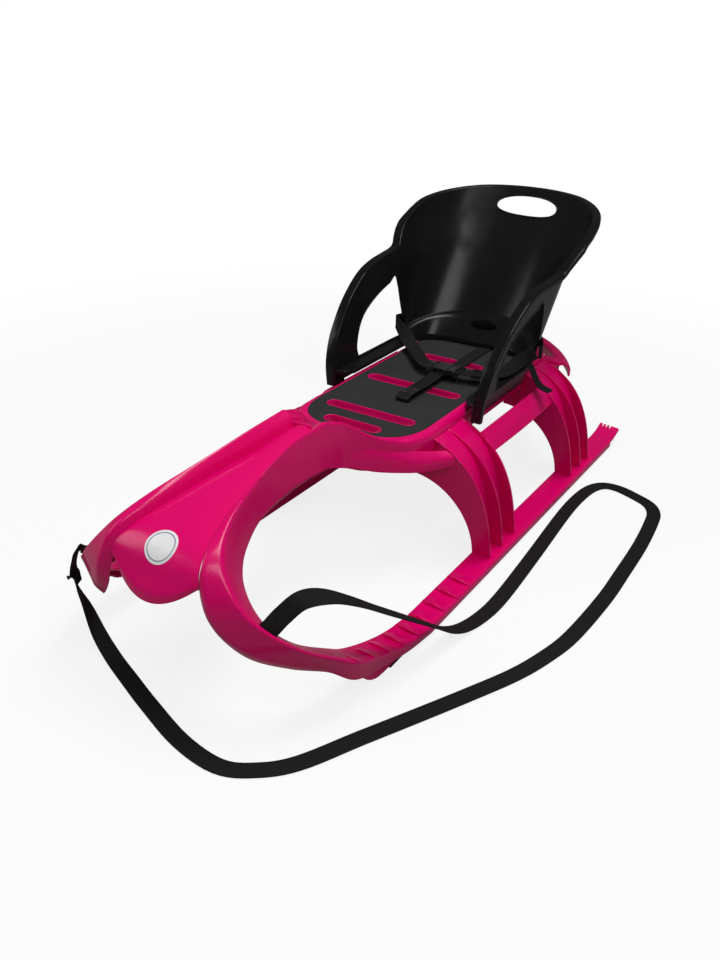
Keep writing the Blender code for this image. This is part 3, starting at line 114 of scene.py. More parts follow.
# Hand rail between the legs: x and z of inner foot, inner top, outer top and outer foot
SIDE_RAIL = ((.1505, .1800), (.1525, .2085), (.1660, .1935), (.1765, .1755))
# Hand rail behind the seat, a bow that starts some degrees round from the side
BOW_START = 23
BOW_Y, BOW_HALF_WIDTH, BOW_REACH, BOW_POWER = 0.330, 0.186, 0.218, 1.5
BOW_WIDTH, BOW_TOP, BOW_FOOT = 0.026, 0.2170, 0.1920
# Slots in the deck and the pad, each with a collar, and the pad in its recess
SLOTS = ((-0.113, 0.050), (-0.060, 0.080), (0.078, 0.088), (0.221, 0.061))
SLOT_WIDTH = 0.021
COLLAR, COLLAR_DEPTH = 0.0018, 0.014
PAD_HALF_WIDTH, PAD_FRONT_Y, PAD_REAR_Y, PAD_NOSE = 0.1045, -0.143, 0.330, 0.100
PAD_POWER, PAD_STEPS = 2.5, 28
PAD_SEAT, PAD_TOP = 0.2340, 0.2373

# Rows down the horn: ridge, edge of the side opening, outer edge, as shares of half width, half length
# and ridge height; then share of half length and rise where it runs down to the runner
HORN = (
    ((.178, .416, .997), (.196, .416, .747), (.098, .416, .967)),
    ((.173, .554, .990), (.191, .554, .763), (.120, .563, .937)),
    ((.218, .701, .947), (.218, .693, .740), (.178, .713, .907)),
    ((.293, .835, .887), (.276, .783, .677), (.244, .857, .860)),
    ((.391, .913, .803), (.351, .835, .623), (.324, .949, .793)),
    ((.498, .944, .710), (.444, .866, .577), (.382, .980, .667)),
    ((.613, .947, .613), (.551, .883, .527), (.453, .975, .533)),
    ((.733, .921, .523), (.649, .883, .477), (.600, .935, .400)),
    ((.867, .880, .443), (.738, .848, .403), (.764, .871, .317)),
    ((.956, .814, .353), (.800, .771, .307), (.889, .805, .260)),
)
RUN_DOWN = ((.736, .060), (.623, .030), (.519, .010))
# Deck rows: y, middle height, then x and z of pad edge, shoulder and rim, skirt foot
DECK_ROWS = (
    (-.200, .264, (.027, .263), (.030, .2725), (.046, .285), .208),
    (-.170, .249, (.038, .2485), (.043, .2535), (.060, .262), .195),
    (-.140, .2385, (.072, .2385), (.077, .2395), (.085, .243), .189),
    (-.110, DECK_HEIGHT, (.097, DECK_HEIGHT), (.101, .2360), (.107, .2320), .184),
    (-.080, DECK_HEIGHT, (.106, DECK_HEIGHT), (.110, .2350), (.1155, .2300), .190),
    (-.050, DECK_HEIGHT, (.1075, DECK_HEIGHT), (.1125, .2345), (.1185, .2285), .196),
    (.180, DECK_HEIGHT, (.108, DECK_HEIGHT), (.113, .2345), (.1185, .2285), .196),
    (.370, DECK_HEIGHT, (.108, DECK_HEIGHT), (.113, .2345), (.1185, .2285), .196),
    (.384, DECK_HEIGHT, (.102, DECK_HEIGHT), (.108, .2345), (.1140, .2285), .196),
    (.392, .236, (.094, .236), (.099, .2335), (.1040, .2275), .196),
)
# Front hand rail: y, then x and z of inner top, outer top and outer foot
FRONT_RAIL = (
    (-.196, (.0440, .2400), (.0462, .2260), (.0466, .2090)),
    (-.176, (.0545, .2370), (.0585, .2220), (.0595, .1990)),
    (-.154, (.0700, .2320), (.0770, .2160), (.0785, .1910)),
    (-.132, (.0880, .2265), (.0985, .2085), (.1000, .1870)),
    (-.110, (.1050, .2195), (.1190, .2020), (.1190, .1840)),
    (-.085, (.1210, .2145), (.1365, .2000), (.1355, .1825)),
    (-.068, (.1300, .2115), (.1475, .2000), (.1460, .1835)),
    (-.0535, (.1385, .2095), (.1570, .2000), (.1550, .1850)),
)
# Label: its place and facing, size, thickness on each side of the hood's face, and its printed ring
LABEL_SPOT, LABEL_FACING = (0.0011, -0.5431, 0.2325), (0.0, -0.615, 0.789)
LABEL_RADIUS, LABEL_LIFT, LABEL_SIDES = 0.0232, 0.0005, 64
LABEL_RING, LABEL_RING_EDGE = (0.80, 0.86), 0.01
# Webbing: width, steps to each span of a route, pitch of its weave, and its section as shares of half
# width and half thickness, round from one edge
WEBBING = 0.025
STRAP_STEPS = 6
TWILL_PITCH = 0.0016
STRAP_SECTION = ((-1.0, 0.0), (-0.985, -0.8), (-0.94, -1.0), (-0.5, -1.0), (0.0, -1.0), (0.5, -1.0),
                 (0.94, -1.0), (0.985, -0.8), (1.0, 0.0), (0.985, 0.8), (0.94, 1.0), (0.5, 1.0),
                 (0.0, 1.0), (-0.5, 1.0), (-0.94, 1.0), (-0.985, 0.8))
# Pull strap: over how many marks each end turns flat, x and y of the marks on the ground, whole route
PULL_THICK, PULL_REST = 0.0020, 0.0018
PULL_TURNS = (8, 9)
PULL_GROUND = (
    (.269, -.089), (.262, .043), (.251, .212), (.251, .290), (.258, .336), (.274, .360), (.301, .364),
    (.336, .352), (.367, .336), (.385, .311), (.393, .273), (.401, .184), (.404, .082), (.405, -.009),
    (.398, -.126), (.384, -.194), (.364, -.254), (.331, -.324), (.295, -.396), (.254, -.476),
    (.214, -.555), (.178, -.593), (.136, -.613), (.069, -.606), (-.011, -.579), (-.065, -.558),
)
PULL_ROUTE = (
    (.1489, -.5287, .1562), (.1535, -.524, .161), (.162, -.511, .175), (.178, -.493, .193),
    (.197, -.466, .190), (.212, -.429, .167), (.223, -.385, .133), (.235, -.335, .095),
    (.245, -.284, .056), (.252, -.240, .023), (.259, -.199, .006), (.267, -.150, .0022),
    *((x, y, PULL_REST) for x, y in PULL_GROUND),
    (-.118, -.537, .003), (-.158, -.523, .018), (-.179, -.520, .052), (-.189, -.526, .090),
    (-.189, -.528, .120), (-.180, -.526, .148), (-.164, -.522, .163), (-.1535, -.524, .161),
    (-.1489, -.5287, .1562),
)

# Backrest shell: wall, heights, sides, and the back's foot and lean
SHELL = 0.0035
SEAT_BASE = 0.2185
SEAT_FRONT_Y = 0.036
SEAT_HALF_WIDTH = 0.1345
SEAT_TOP = 0.500
BACK_FOOT_Y, BACK_LEAN = 0.344, 0.716
# From this height up the wall spreads and leans; the y where the back's curve starts, and its own lean
SPREAD_HEIGHT, SIDE_SPREAD = 0.240, 0.09
CURVE_Y, CURVE_LEAN = 0.240, 0.52
# Shoulders: how far they stand out, from which height and place on, and over what rise and length
FLARE, FLARE_HEIGHT, FLARE_RISE = 0.0155, 0.385, 0.075
FLARE_Y, FLARE_LENGTH = 0.17, 0.12
# Mesh of the wall, and what is trimmed off its foot: y from, y to, height
WALL_ROWS, SIDE_COLUMNS, BACK_COLUMNS = 24, 16, 44
FOOT_TRIMS = ((0.235, 0.6, DECK_HEIGHT + 0.0010), (0.066, 0.240, 0.2250))
# Sills beside the pad, flange along the free edge, ledge at the foot of the back, hand hole and pocket
SILL_TOP, SILL_INNER_X = 0.2475, 0.109
ARM_FLANGE, BACK_FLANGE, FLANGE_LIP = 0.017, 0.014, 0.0045
LEDGE_FRONT_Y, LEDGE_TOP = 0.318, 0.286
LEDGE_HALF_WIDTH, LEDGE_SIDE_Y, LEDGE_STEPS = 0.1145, 0.2, 36
HAND_HOLE_LENGTH, HAND_HOLE_WIDTH, HAND_HOLE_DROP, HAND_HOLE_POWER = 0.126, 0.036, 0.030, 2.3
SEAT_SCREW_Y, SCREW_POCKET_FLOOR = 0.346, 0.2535
POCKET_REACH, POCKET_RISE, POCKET_RIM = 0.027, 0.0080, (0.0032, 0.0028)
# Gate in the ledge that the crotch strap comes out of: y from and to, half width
GATE_Y, GATE_HALF = (0.30, 0.335), WEBBING / 2 + 0.002
# Tools of the cuts: how far they reach to each side, where they start below, and X through a side wall
CUT_REACH, CUT_FOOT, CUT_SIDE = 0.3, 0.2, (0.10, 0.20)
# Free edge: y and z over the armrest, then heights round the back from a share of it to its middle;
# then y and z round a side window
EDGE_STEPS = 5
ARM_EDGE = ((.036, .2190), (.036, .250), (.041, .273), (.053, .300), (.069, .322), (.089, .345),
            (.112, .365), (.140, .384), (.168, .397), (.204, .405), (.240, .408), (.270, .4105),
            (.286, .4155), (.297, .4265), (.311, .4385), (.326, .4480), (.342, .4565))
BACK_EDGE = (.4665, .478, .4845, .489, .4925, .4955, .4978, .499, .4996, SEAT_TOP, SEAT_TOP)
BACK_EDGE_START = 0.04
WINDOW = ((.263, .361), (.234, .357), (.202, .349), (.172, .338), (.144, .323), (.127, .306),
          (.116, .284), (.112, .266), (.116, .252), (.124, .2495), (.262, .2495), (.276, .253),
          (.280, .262))
# Harness: the gap between parts that touch, the lap strap, and the buckle's places and sizes
GAP = 0.0003
LAP_THICK = 0.0016
BELT_HEIGHT = 0.273
BUCKLE_X, BUCKLE_Y, BUCKLE_BASE = 0.020, 0.142, 0.2492
SOCKET_LENGTH, TONGUE_LENGTH = 0.034, 0.022
BUCKLE_WIDTH, BUCKLE_HEIGHT = 0.034, 0.0105
BUCKLE_MIDDLE = BUCKLE_BASE + BUCKLE_HEIGHT / 2
BAR_INSET, BAR_LENGTH, BAR_THICK = 0.0038, 0.0024, 0.0026
# Slide adjuster: its place, how far its strap turns from X, and marks along its straight stretch
SLIDER_SPOT = (0.0835, 0.1505)
SLIDE_TURN = 20
SLIDE_RUNS = (-0.018, -0.008, 0.008, 0.018, 0.024)
# Lap strap: routes from the buckle to the windows' edges, and which way the webbing's width lies there
FLAT, UPRIGHT = (0, 1, 0), (0, 0.1, 1)
LAP_LEFT = ((-.012, .145, .2540), (-.035, .166, .2530), (-.064, .198, .2525), (-.098, .230, .2560),
            (-.128, .2535, .2650), (-.1440, .2650, BELT_HEIGHT))
LAP_LEFT_SIDES = (FLAT, FLAT, (.5, .8, 0), (.6, .7, .1), (.5, .6, .4), (.2, .2, 1), UPRIGHT)
LAP_RIGHT = ((.1180, .1790, .2540), (.1210, .2060, .2550), (.1250, .2330, .2600),
             (.1350, .2530, .2670), (.1430, .2638, BELT_HEIGHT))
LAP_RIGHT_SIDES = ((-.75, .62, .1), (-.85, .2, .25), (-.7, .1, .7), (-.1, .1, 1), UPRIGHT)
LAP_TAIL = ((.1356, .2517, .2509), (.1385, .2512, .2509), (.1450, .2485, .2478), (.1540, .2470, .2330),
            (.1640, .2445, .2225), (.1740, .2425, .2185), (.1870, .2410, .2160))
# Where the rear length comes in at a window, how far outside the shell it lies, and its marks to a side
LAP_WINDOW = ((.1468, .2682, BELT_HEIGHT), (.1500, .276, BELT_HEIGHT))
LAP_BEHIND, LAP_REAR_MARKS = 0.0062, 7
# Crotch strap: y and rise above the pad, back over its own folded end, and the ends of its sewn box
CROTCH = ((.330, .0006), (.290, .0006), (.200, .0004), (.120, 0), (.050, 0), (.016, .0004),
          (.006, .0042), (.014, .0088), (.040, .0092), (.075, .0078), (.105, .0086),
          (BUCKLE_Y - BUCKLE_WIDTH / 2 - 0.0005, .0105))
SEWN_Y, SEWN_RISE = (0.024, 0.044), 0.0092


def blend(first, second, share):
    """The value a share of the way from the first to the second."""
    return first + (second - first) * share


def clamp(value, low=0.0, high=1.0):
    """The value, held between two limits."""
    return max(low, min(high, value))


def oblong(left, low, right, high):
    """Outline of an upright rectangle."""
    return (left, low), (right, low), (right, high), (left, high)


def other_side(point):
    """The same place on the other side of the sled."""
    return Vector((-point.x, point.y, point.z))


def curve_through(points, steps):
    """Points of a smooth curve that passes through the given ones, steps to each span."""
    marks = [Vector(point) for point in points]
    marks = [2 * marks[0] - marks[1]] + marks + [2 * marks[-1] - marks[-2]]
    result = []
    for span in range(1, len(marks) - 2):
        before, start, end, after = marks[span - 1:span + 3]
        for step in range(steps):
            t = step / steps
            result.append(0.5 * (2 * start + (end - before) * t
                                 + (2 * before - 5 * start + 4 * end - after) * t * t
                                 + (3 * start - before - 3 * end + after) * t ** 3))
    result.append(marks[-2])
    return result


def value_at(keys, values, place):
    """A smooth value between uneven marks, without swinging past them."""
    if place <= keys[0]:
        return values[0]
    if place >= keys[-1]:
        return values[-1]
    index = max(i for i in range(len(keys) - 1) if keys[i] <= place)
    slopes = [(values[i + 1] - values[i]) / (keys[i + 1] - keys[i]) for i in range(len(keys) - 1)]
    ends = []
    for i in (index, index + 1):
        before, after = slopes[max(i - 1, 0)], slopes[min(i, len(slopes) - 1)]
        ends.append(2 * before * after / (before + after) if before * after > 0 else 0.0)
    gap = keys[index + 1] - keys[index]
    t = (place - keys[index]) / gap
    low, high = values[index], values[index + 1]
    return (low * (1 + 2 * t) * (1 - t) ** 2 + ends[0] * gap * t * (1 - t) ** 2
            + high * t * t * (3 - 2 * t) + ends[1] * gap * t * t * (t - 1))


def shell_section(outline, inwards, wall):
    """An open outline and the same one set inwards by the wall, as one closed loop."""
    legs = [(b - a).normalized() for a, b in zip(outline, outline[1:])]
    normals = [inwards(leg).normalized() for leg in legs]
    inner = []
    for index, point in enumerate(outline):
        first = normals[max(index - 1, 0)]
        second = normals[min(index, len(normals) - 1)]
        inner.append(point + (first + second) * (wall / (1 + first.dot(second))))
    return list(outline) + inner[::-1]


def rounded(loop, reaches, steps=5):
    """A closed loop with each corner rounded; a reach says how far from the corner that starts."""
    result = []
    count = len(loop)
    for index, corner in enumerate(loop):
        before, after = loop[index - 1] - corner, loop[(index + 1) % count] - corner
        start = corner + before.normalized() * min(reaches[index], before.length * 0.48)
        end = corner + after.normalized() * min(reaches[index], after.length * 0.48)
        for step in range(steps + 1):
            t = step / steps
            result.append(start * (1 - t) ** 2 + corner * 2 * t * (1 - t) + end * t * t)
    return result


def soft_shell(outline, inwards, reaches, wall=WALL):
    """A rounded shell section; reaches are those of the outline's inner corners."""
    loop = shell_section(outline, inwards, wall)
    outer = [LIP] + list(reaches) + [LIP]
    inner = [LIP] + [max(reach - wall * 0.5, 0.0008) for reach in reversed(reaches)] + [LIP]
    return rounded(loop, outer + inner)


def linked(name, data):
    """A new object in the scene."""
    item = bpy.data.objects.new(name, data)
    bpy.context.scene.collection.objects.link(item)
    return item


def skin(name, sections, finish=None, ring=False, sharp=SHARP):
    """A smooth shaded skin over closed sections of equal point count, with flat caps, or as a ring."""
    count, rows = len(sections[0]), len(sections)
    mesh = bmesh.new()
    corners = [mesh.verts.new(point) for section in sections for point in section]
    for row in range(rows if ring else rows - 1):
        for column in range(count):
            beside, ahead = (column + 1) % count, (row + 1) % rows
            mesh.faces.new((corners[row * count + column], corners[row * count + beside],
                            corners[ahead * count + beside], corners[ahead * count + column]))
    if not ring:
        mesh.faces.new(corners[:count][::-1])
        mesh.faces.new(corners[-count:])
    bmesh.ops.recalc_face_normals(mesh, faces=mesh.faces)
    data = bpy.data.meshes.new(name)
    mesh.to_mesh(data)
    mesh.free()
    data.shade_smooth()
    data.set_sharp_from_angle(angle=math.radians(sharp))
    if finish:
        data.materials.append(finish)
    return linked(name, data)


def prism(name, outline, axis, low, high, finish=None):
    """An outline in the plane across one axis, drawn out along it from low to high."""
    sections = []
    for level in (low, high):
        section = []
        for pair in outline:
            spot = list(pair)
            spot.insert("xyz".index(axis), level)
            section.append(Vector(spot))
        sections.append(section)
    return skin(name, sections, finish)


def soften(piece, width, segments=2, angle=35):
    """Round a piece's sharp edges with a bevel, and keep the result."""
    change = piece.modifiers.new("soften", "BEVEL")
    change.width = width
    change.segments = segments
    change.limit_method = "ANGLE"
    change.angle_limit = math.radians(angle)
    return keep(piece)


def keep(piece):
    """Turn an object and its modifiers into a plain mesh."""
    bpy.context.view_layer.update()
    graph = bpy.context.evaluated_depsgraph_get()
    result = bpy.data.meshes.new_from_object(piece.evaluated_get(graph), depsgraph=graph)
    piece.modifiers.clear()
    piece.data = result
    return piece


def cut(target, tool):
    """Take a tool's shape away from a piece, and the tool out of the scene."""
    change = target.modifiers.new("cut", "BOOLEAN")
    change.operation = "DIFFERENCE"
    change.solver = "MANIFOLD"
    change.object = tool
    keep(target)
    bpy.data.objects.remove(tool, do_unlink=True)
    target.data.shade_smooth()
    target.data.set_sharp_from_angle(angle=math.radians(SHARP))


def joined(name, pieces, finish=None):
    """One object from several, with their materials."""
    mesh = bmesh.new()
    data = bpy.data.meshes.new(name)
    slots = []
    for piece in pieces:
        start = len(mesh.faces)
        mesh.from_mesh(piece.data)
        mesh.faces.ensure_lookup_table()
        for face in mesh.faces[start:]:
            own = piece.data.materials[face.material_index] if piece.data.materials else None
            own = own or finish
            if own not in slots:
                slots.append(own)
            face.material_index = slots.index(own)
        bpy.data.objects.remove(piece, do_unlink=True)
    mesh.to_mesh(data)
    mesh.free()
    for material in slots:
        data.materials.append(material)
    return linked(name, data)


def mirrored(source, name):
    """The same piece on the other side of the sled."""
    data = source.data.copy()
    data.transform(Matrix.Scale(-1, 4, (1, 0, 0)))
    data.flip_normals()
    return linked(name, data)


def finish_piece(piece, node):
    """Give a piece its body and the node that it takes the place of."""
    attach(piece, "sled")
    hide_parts(node)
    return piece


class Wire:
    """A value inside a material; arithmetic on it adds Math nodes."""

    def __init__(self, tree, socket):
        self.tree, self.socket = tree, socket

    def math(self, operation, *others, clamped=False):
        """The outcome of one Math node."""
        node = self.tree.nodes.new("ShaderNodeMath")
        node.operation = operation
        node.use_clamp = clamped
        for slot, value in zip(node.inputs, (self,) + others):
            plug(self.tree, slot, value)
        return Wire(self.tree, node.outputs[0])

    def __add__(self, other):
        return self.math("ADD", other)

    def __sub__(self, other):
        return self.math("SUBTRACT", other)

    def __rsub__(self, other):
        return (self * -1.0) + other

    def __mul__(self, other):
        return self.math("MULTIPLY", other)


def plug(tree, slot, value):
    """Link a socket to a wire, or give it a plain value or colour."""
    if isinstance(value, Wire):
        tree.links.new(value.socket, slot)
    else:
        slot.default_value = (*value, 1.0) if slot.type == "RGBA" else value


def rays(tree, kind):
    """The mark that tells whether a place is shaded for this kind of ray."""
    return Wire(tree, tree.nodes.new("ShaderNodeLightPath").outputs[kind])


class Finish:
    """A material with one Principled shader, and short ways to add nodes to it."""

    def __init__(self, name, colour, roughness, **sockets):
        self.material = bpy.data.materials.new(name)
        self.material.use_nodes = True
        self.tree = self.material.node_tree
        self.shader = self.tree.nodes["Principled BSDF"]
        self.set(Base_Color=colour, Roughness=roughness, **sockets)

    def set(self, **sockets):
        """Give the shader's sockets their values or links."""
        for key, value in sockets.items():
            plug(self.tree, self.shader.inputs[key.replace("_", " ")], value)

    def node(self, kind, settings=None, output=0, **sockets):
        """Any node: its type, settings, and its sockets' values or links; i0 is its first socket."""
        node = self.tree.nodes.new("ShaderNode" + kind)
        for key, value in (settings or {}).items():
            setattr(node, key, value)
        for key, value in sockets.items():
            counted = key[0] == "i" and key[1:].isdigit()
            plug(self.tree, node.inputs[int(key[1:]) if counted else key.replace("_", " ")], value)
        return Wire(self.tree, node.outputs[output])

    def place(self, kind="Object"):
        """Where on the piece a shaded place is."""
        return Wire(self.tree, self.tree.nodes.new("ShaderNodeTexCoord").outputs[kind])

    def away_from(self, centre):
        """How far a shaded place is from this one."""
        return self.node("VectorMath", {"operation": "DISTANCE"}, 1, i0=self.place(), i1=tuple(centre))

    def fade(self, value, low, high):
        """A smooth rise from 0 to 1 while the value goes from low to high."""
        return self.node("MapRange", {"interpolation_type": "SMOOTHSTEP"},
                         Value=value, From_Min=low, From_Max=high)

    def noise(self, scale, detail, at=None):
        """Cloudy noise, of so many waves to a metre."""
        return self.node("TexNoise", Vector=at or self.place(), Scale=scale, Detail=detail)

    def stretched(self, scale):
        """Places with their axes scaled, which stretches the noise made from them."""
        return self.node("Mapping", {"vector_type": "POINT"}, Vector=self.place(), Scale=scale)

    def mix(self, factor, first, second):
        """Blend of two colours, which are the Mix node's sockets 6 and 7."""
        return self.node("Mix", {"data_type": "RGBA"}, output=2, i0=factor, i6=first, i7=second)

    def bump(self, height, strength, distance):
        """Fine relief; the finished material is returned."""
        self.set(Normal=self.node("Bump", Height=height, Strength=strength, Distance=distance))
        return self.material


def moulded_plastic(name, colour, deep, roughness, specular, coat):
    """Glossy polypropylene: slow waves from the mould, a fine skin texture and faint haze."""
    paint = Finish(name, colour, roughness, Coat_Weight=coat, Coat_Roughness=0.06, IOR=1.49,
                   Specular_IOR_Level=specular)
    waves = paint.noise(14.0, 2.0)
    haze = paint.noise(55.0, 4.0)
    grain = paint.noise(1400.0, 2.0)
    paint.set(Base_Color=paint.mix(haze * 0.5, colour, deep),
              Roughness=haze * 0.10 + (roughness - 0.05))
    return paint.bump(waves * 0.7 + grain * 0.03, 0.05, 0.004)


def rubber_finish():
    """Closed foam of the seat pad: a pressed grain, clouded, with faint lines across the sled."""
    paint = Finish("grey pad foam", (0.029, 0.029, 0.030), 0.80, Specular_IOR_Level=0.35)
    grain = paint.noise(900.0, 4.0)
    cloud = paint.noise(26.0, 3.0)
    lines = paint.noise(160.0, 2.0, paint.stretched((0.12, 1.0, 1.0)))
    tone = paint.mix(cloud * 0.6 + grain * 0.3, (0.0165, 0.0170, 0.0172), (0.0295, 0.0300, 0.0302))
    paint.set(Base_Color=tone, Roughness=grain * 0.25 + 0.62)
    return paint.bump(grain + lines * 0.5, 0.30, 0.0006)


def webbing_finish(name, light, dark):
    """Woven webbing: a twill of yarns across and along, read from the strap's own UV map."""
    paint = Finish(name, dark, 0.72, Specular_IOR_Level=0.25)
    split = paint.tree.nodes.new("ShaderNodeSeparateXYZ")
    paint.tree.links.new(paint.place("UV").socket, split.inputs[0])
    run, across = (Wire(paint.tree, split.outputs[index]) for index in (0, 1))
    turn = 2 * math.pi / TWILL_PITCH
    weft = (run * turn + across * turn).math("SINE")
    warp = (across * turn).math("SINE")
    weave = weft * 0.5 + warp * 0.35 + 0.5
    fuzz = paint.noise(2200.0, 2.0)
    tone = (weave * 0.75 + fuzz * 0.35).math("MULTIPLY", 1.0, clamped=True)
    paint.set(Base_Color=paint.mix(tone, dark, light), Roughness=0.85 - tone * 0.2)
    return paint.bump(weave + fuzz * 0.3, 0.55, 0.0004)


def satin_finish():
    """Moulded acetal of the buckle and the adjuster."""
    paint = Finish("black acetal", (0.012, 0.012, 0.012), 0.36, IOR=1.48)
    grain = paint.noise(1800.0, 3.0)
    paint.set(Roughness=grain * 0.18 + 0.27)
    return paint.bump(grain, 0.12, 0.0003)


def steel_finish():
    """Rolled steel of the rails and screws, brushed along the sled."""
    paint = Finish("dark rolled steel", (0.06, 0.06, 0.065), 0.42, Metallic=1.0)
    brushed = paint.noise(900.0, 3.0, paint.stretched((1.0, 0.02, 1.0)))
    stain = paint.noise(30.0, 4.0)
    paint.set(Base_Color=paint.mix(stain, (0.035, 0.035, 0.04), (0.085, 0.085, 0.09)),
              Roughness=brushed * 0.25 + 0.25)
    return paint.bump(brushed, 0.15, 0.0003)


pink = moulded_plastic("pink polypropylene", (0.78, 0.0, 0.150), (0.71, 0.0, 0.128),
                       roughness=0.24, specular=0.3, coat=0.12)
black = moulded_plastic("black polypropylene", (0.0070, 0.0070, 0.0078), (0.010, 0.010, 0.011),
                        roughness=0.20, specular=0.24, coat=0.0)
rubber = rubber_finish()
webbing = webbing_finish("black webbing", (0.0115, 0.0112, 0.0112), (0.0030, 0.0030, 0.0030))
satin = satin_finish()
steel = steel_finish()


def horn_rows():
    """Rows of ridge, hole edge and outer edge, from the neck round the horn to the runner."""
    rows = []
    for row in HORN:
        rows.append([Vector((across * HALF_WIDTH, -forward * HALF_LENGTH, up * RIDGE_HEIGHT))
                     for across, forward, up in row])
    for forward, rise in RUN_DOWN:
        rows.append(runner_row(-forward * HALF_LENGTH, rise))
    rows.append(runner_row(RUNNER_CURVE_Y, 0.0))
    return rows


def runner_row(y, rise):
    """A row where the horn has come down to the runner, with what rise it still has."""
    ridge = Vector((HALF_WIDTH, y, RUNNER_TOP + rise))
    hole = Vector((RUNNER_INNER, y + rise * 0.2, RUNNER_TOP + RUNNER_CAMBER + rise * 0.85))
    foot_z = RUNNER_TOP - (RUNNER_TOP - RUNNER_FOOT) * 0.5 + rise * 0.62
    return [ridge, hole, Vector((HALF_WIDTH - rise * 0.14, y, foot_z))]


def band(steps):
    """Rows of five corners along the horn: fold, hole edge, ridge, outer edge, fold."""
    rows = horn_rows()
    fine = [curve_through([row[corner] for row in rows], steps) for corner in range(3)]
    count = len(fine[0])
    result = []
    for index in range(count):
        ridge, hole, outer = (line[index] for line in fine)
        run = clamp((index / (count - 1) - 0.45) / 0.35)
        side = (outer - ridge).normalized()
        down = (hole - ridge).normalized()
        step = blend((down + side * 0.5).normalized(), side, run).normalized()
        inner_fold = hole + side * blend(0.010, RUNNER_TOP + RUNNER_CAMBER - RUNNER_FOOT, run)
        outer_fold = outer + step * blend(0.020, (RUNNER_TOP - RUNNER_FOOT) * 0.5, run)
        result.append([inner_fold, hole, ridge, outer, outer_fold])
    return result


def tail_lift(y):
    """How far the runner's tail is lifted at a place."""
    share = max(0.0, (y - HALF_LENGTH + TAIL_LENGTH) / TAIL_LENGTH)
    return TAIL_LIFT * share * share


def straight_rows():
    """Rows along the runner's straight part and its lifted tail, which is flat, without sides."""
    start = HALF_LENGTH - TAIL_LENGTH
    places = [(blend(RUNNER_CURVE_Y, start, step / 24), False) for step in range(1, 25)]
    places += [(start + TAIL_LENGTH * share, True) for share in (0.01, 0.2, 0.4, 0.55, 0.7, 0.85, 1.0)]
    rows = []
    for y, flat in places:
        top = RUNNER_TOP + tail_lift(y)
        hole_top = top + RUNNER_CAMBER
        foot = hole_foot = RUNNER_FOOT
        if flat:
            foot, hole_foot = top - WALL * 1.1, hole_top - WALL * 1.1
        rows.append([Vector((RUNNER_INNER, y, hole_foot)), Vector((RUNNER_INNER, y, hole_top)),
                     Vector((HALF_WIDTH, y, top)), Vector((HALF_WIDTH, y, blend(top, foot, 0.5))),
                     Vector((HALF_WIDTH, y, foot))])
    return rows


def along(rows, index):
    """The way a band runs at one of its rows."""
    before, after = rows[max(index - 1, 0)][2], rows[min(index + 1, len(rows) - 1)][2]
    return Vector((0, -1, 0)) if index == 0 else (after - before).normalized()


def runner_top(rows, y):
    """Ridge and hole edge of the runner at one place along it."""
    for first, second in zip(rows, rows[1:]):
        if first[2].y <= y <= second[2].y:
            share = (y - first[2].y) / (second[2].y - first[2].y)
            return first[2].lerp(second[2], share), first[1].lerp(second[1], share)
    return rows[-1][2], rows[-1][1]


def boot_step(rows, y):
    """One step: a crescent front face that slopes back into the runner's top."""
    across = 25
    front, rear = runner_top(rows, y), runner_top(rows, y + STEP_LENGTH)
    sink = Vector((0, 0, WALL * 0.5))
    sections = []
    for step in range(across):
        share = 0.04 + 0.92 * step / (across - 1)
        bow = 1 - (2 * share - 1) ** 2
        base = front[0].lerp(front[1], share)
        base.y = y - 0.004 * bow
        back = rear[0].lerp(rear[1], share)
        back.y = y + STEP_LENGTH
        crest = base + Vector((0, 0, STEP_HEIGHT * bow + 0.0002))
        reaches = (0.0002, 0.0022 * bow + 0.0002, 0.002)
        sections.append(rounded([base - sink, crest, back - sink], reaches, 4))
    return skin("step", sections)


def rib_curve(centre, reach, rise, power, count):
    """A quarter of a superellipse, from its top outwards and down, without what lies under the deck."""
    points = []
    for step in range(count):
        angle = math.pi / 2 * (1 - step / (count - 1))
        points.append((centre[0] + reach * abs(math.cos(angle)) ** (2 / power),
                       centre[1] + rise * abs(math.sin(angle)) ** (2 / power)))
    return [point for point in points if point[0] > RIB_TOP_X + 0.001]


def leaning(y, lean, z):
    """Where a leg's upright plane stands at a height; its foot is further forward than its top."""
    share = clamp((z - RUNNER_TOP) / LEG_HEIGHT)
    return y - lean * (1 - (1 - share) ** 1.5)


def leg_sheet(name, outline, first, last, lean):
    """An outline across the sled, drawn out along it between two places, as the legs lean."""
    sections = [[Vector((x, leaning(y, lean, z), z)) for x, z in outline] for y in (first, last)]
    return skin(name, sections, sharp=30)


def leg_rib(y, lean):
    """One rib: its outer edge stands proud of the web, its inner edge is an arch under the deck."""
    outer = rib_curve(LEG_ARC, HALF_WIDTH - LEG_INSET - LEG_ARC[0], LEG_RISE, LEG_POWER, 64)
    outer = [(x, z + RIB_SHOULDER * clamp(1 - (x - DECK_WALL_X) / SHOULDER_WIDTH)) for x, z in outer]
    inner = rib_curve((ARCH_X, LEG_ARC[1]), RUNNER_INNER - ARCH_X, ARCH_RISE, ARCH_POWER, 48)
    outline = [(RIB_TOP_X, outer[0][1] + 0.0008)] + outer
    outline += [(outer[-1][0], RUNNER_TOP), (inner[-1][0], RUNNER_TOP)]
    outline += inner[::-1] + [(RIB_TOP_X, inner[0][1])]
    return soften(leg_sheet("rib", outline, y - RIB / 2, y + RIB / 2, lean), 0.0009, 2, 50)


def leg_web(first_y, last_y, lean):
    """The curved wall that joins a leg's ribs."""
    fine = curve_through([(x, 0, z) for x, z in LEG_WEB], 6)
    loop = shell_section(fine, Vector((0, 1, 0)).cross, WALL)
    return leg_sheet("web", [(point.x, point.z) for point in loop], first_y, last_y, lean)


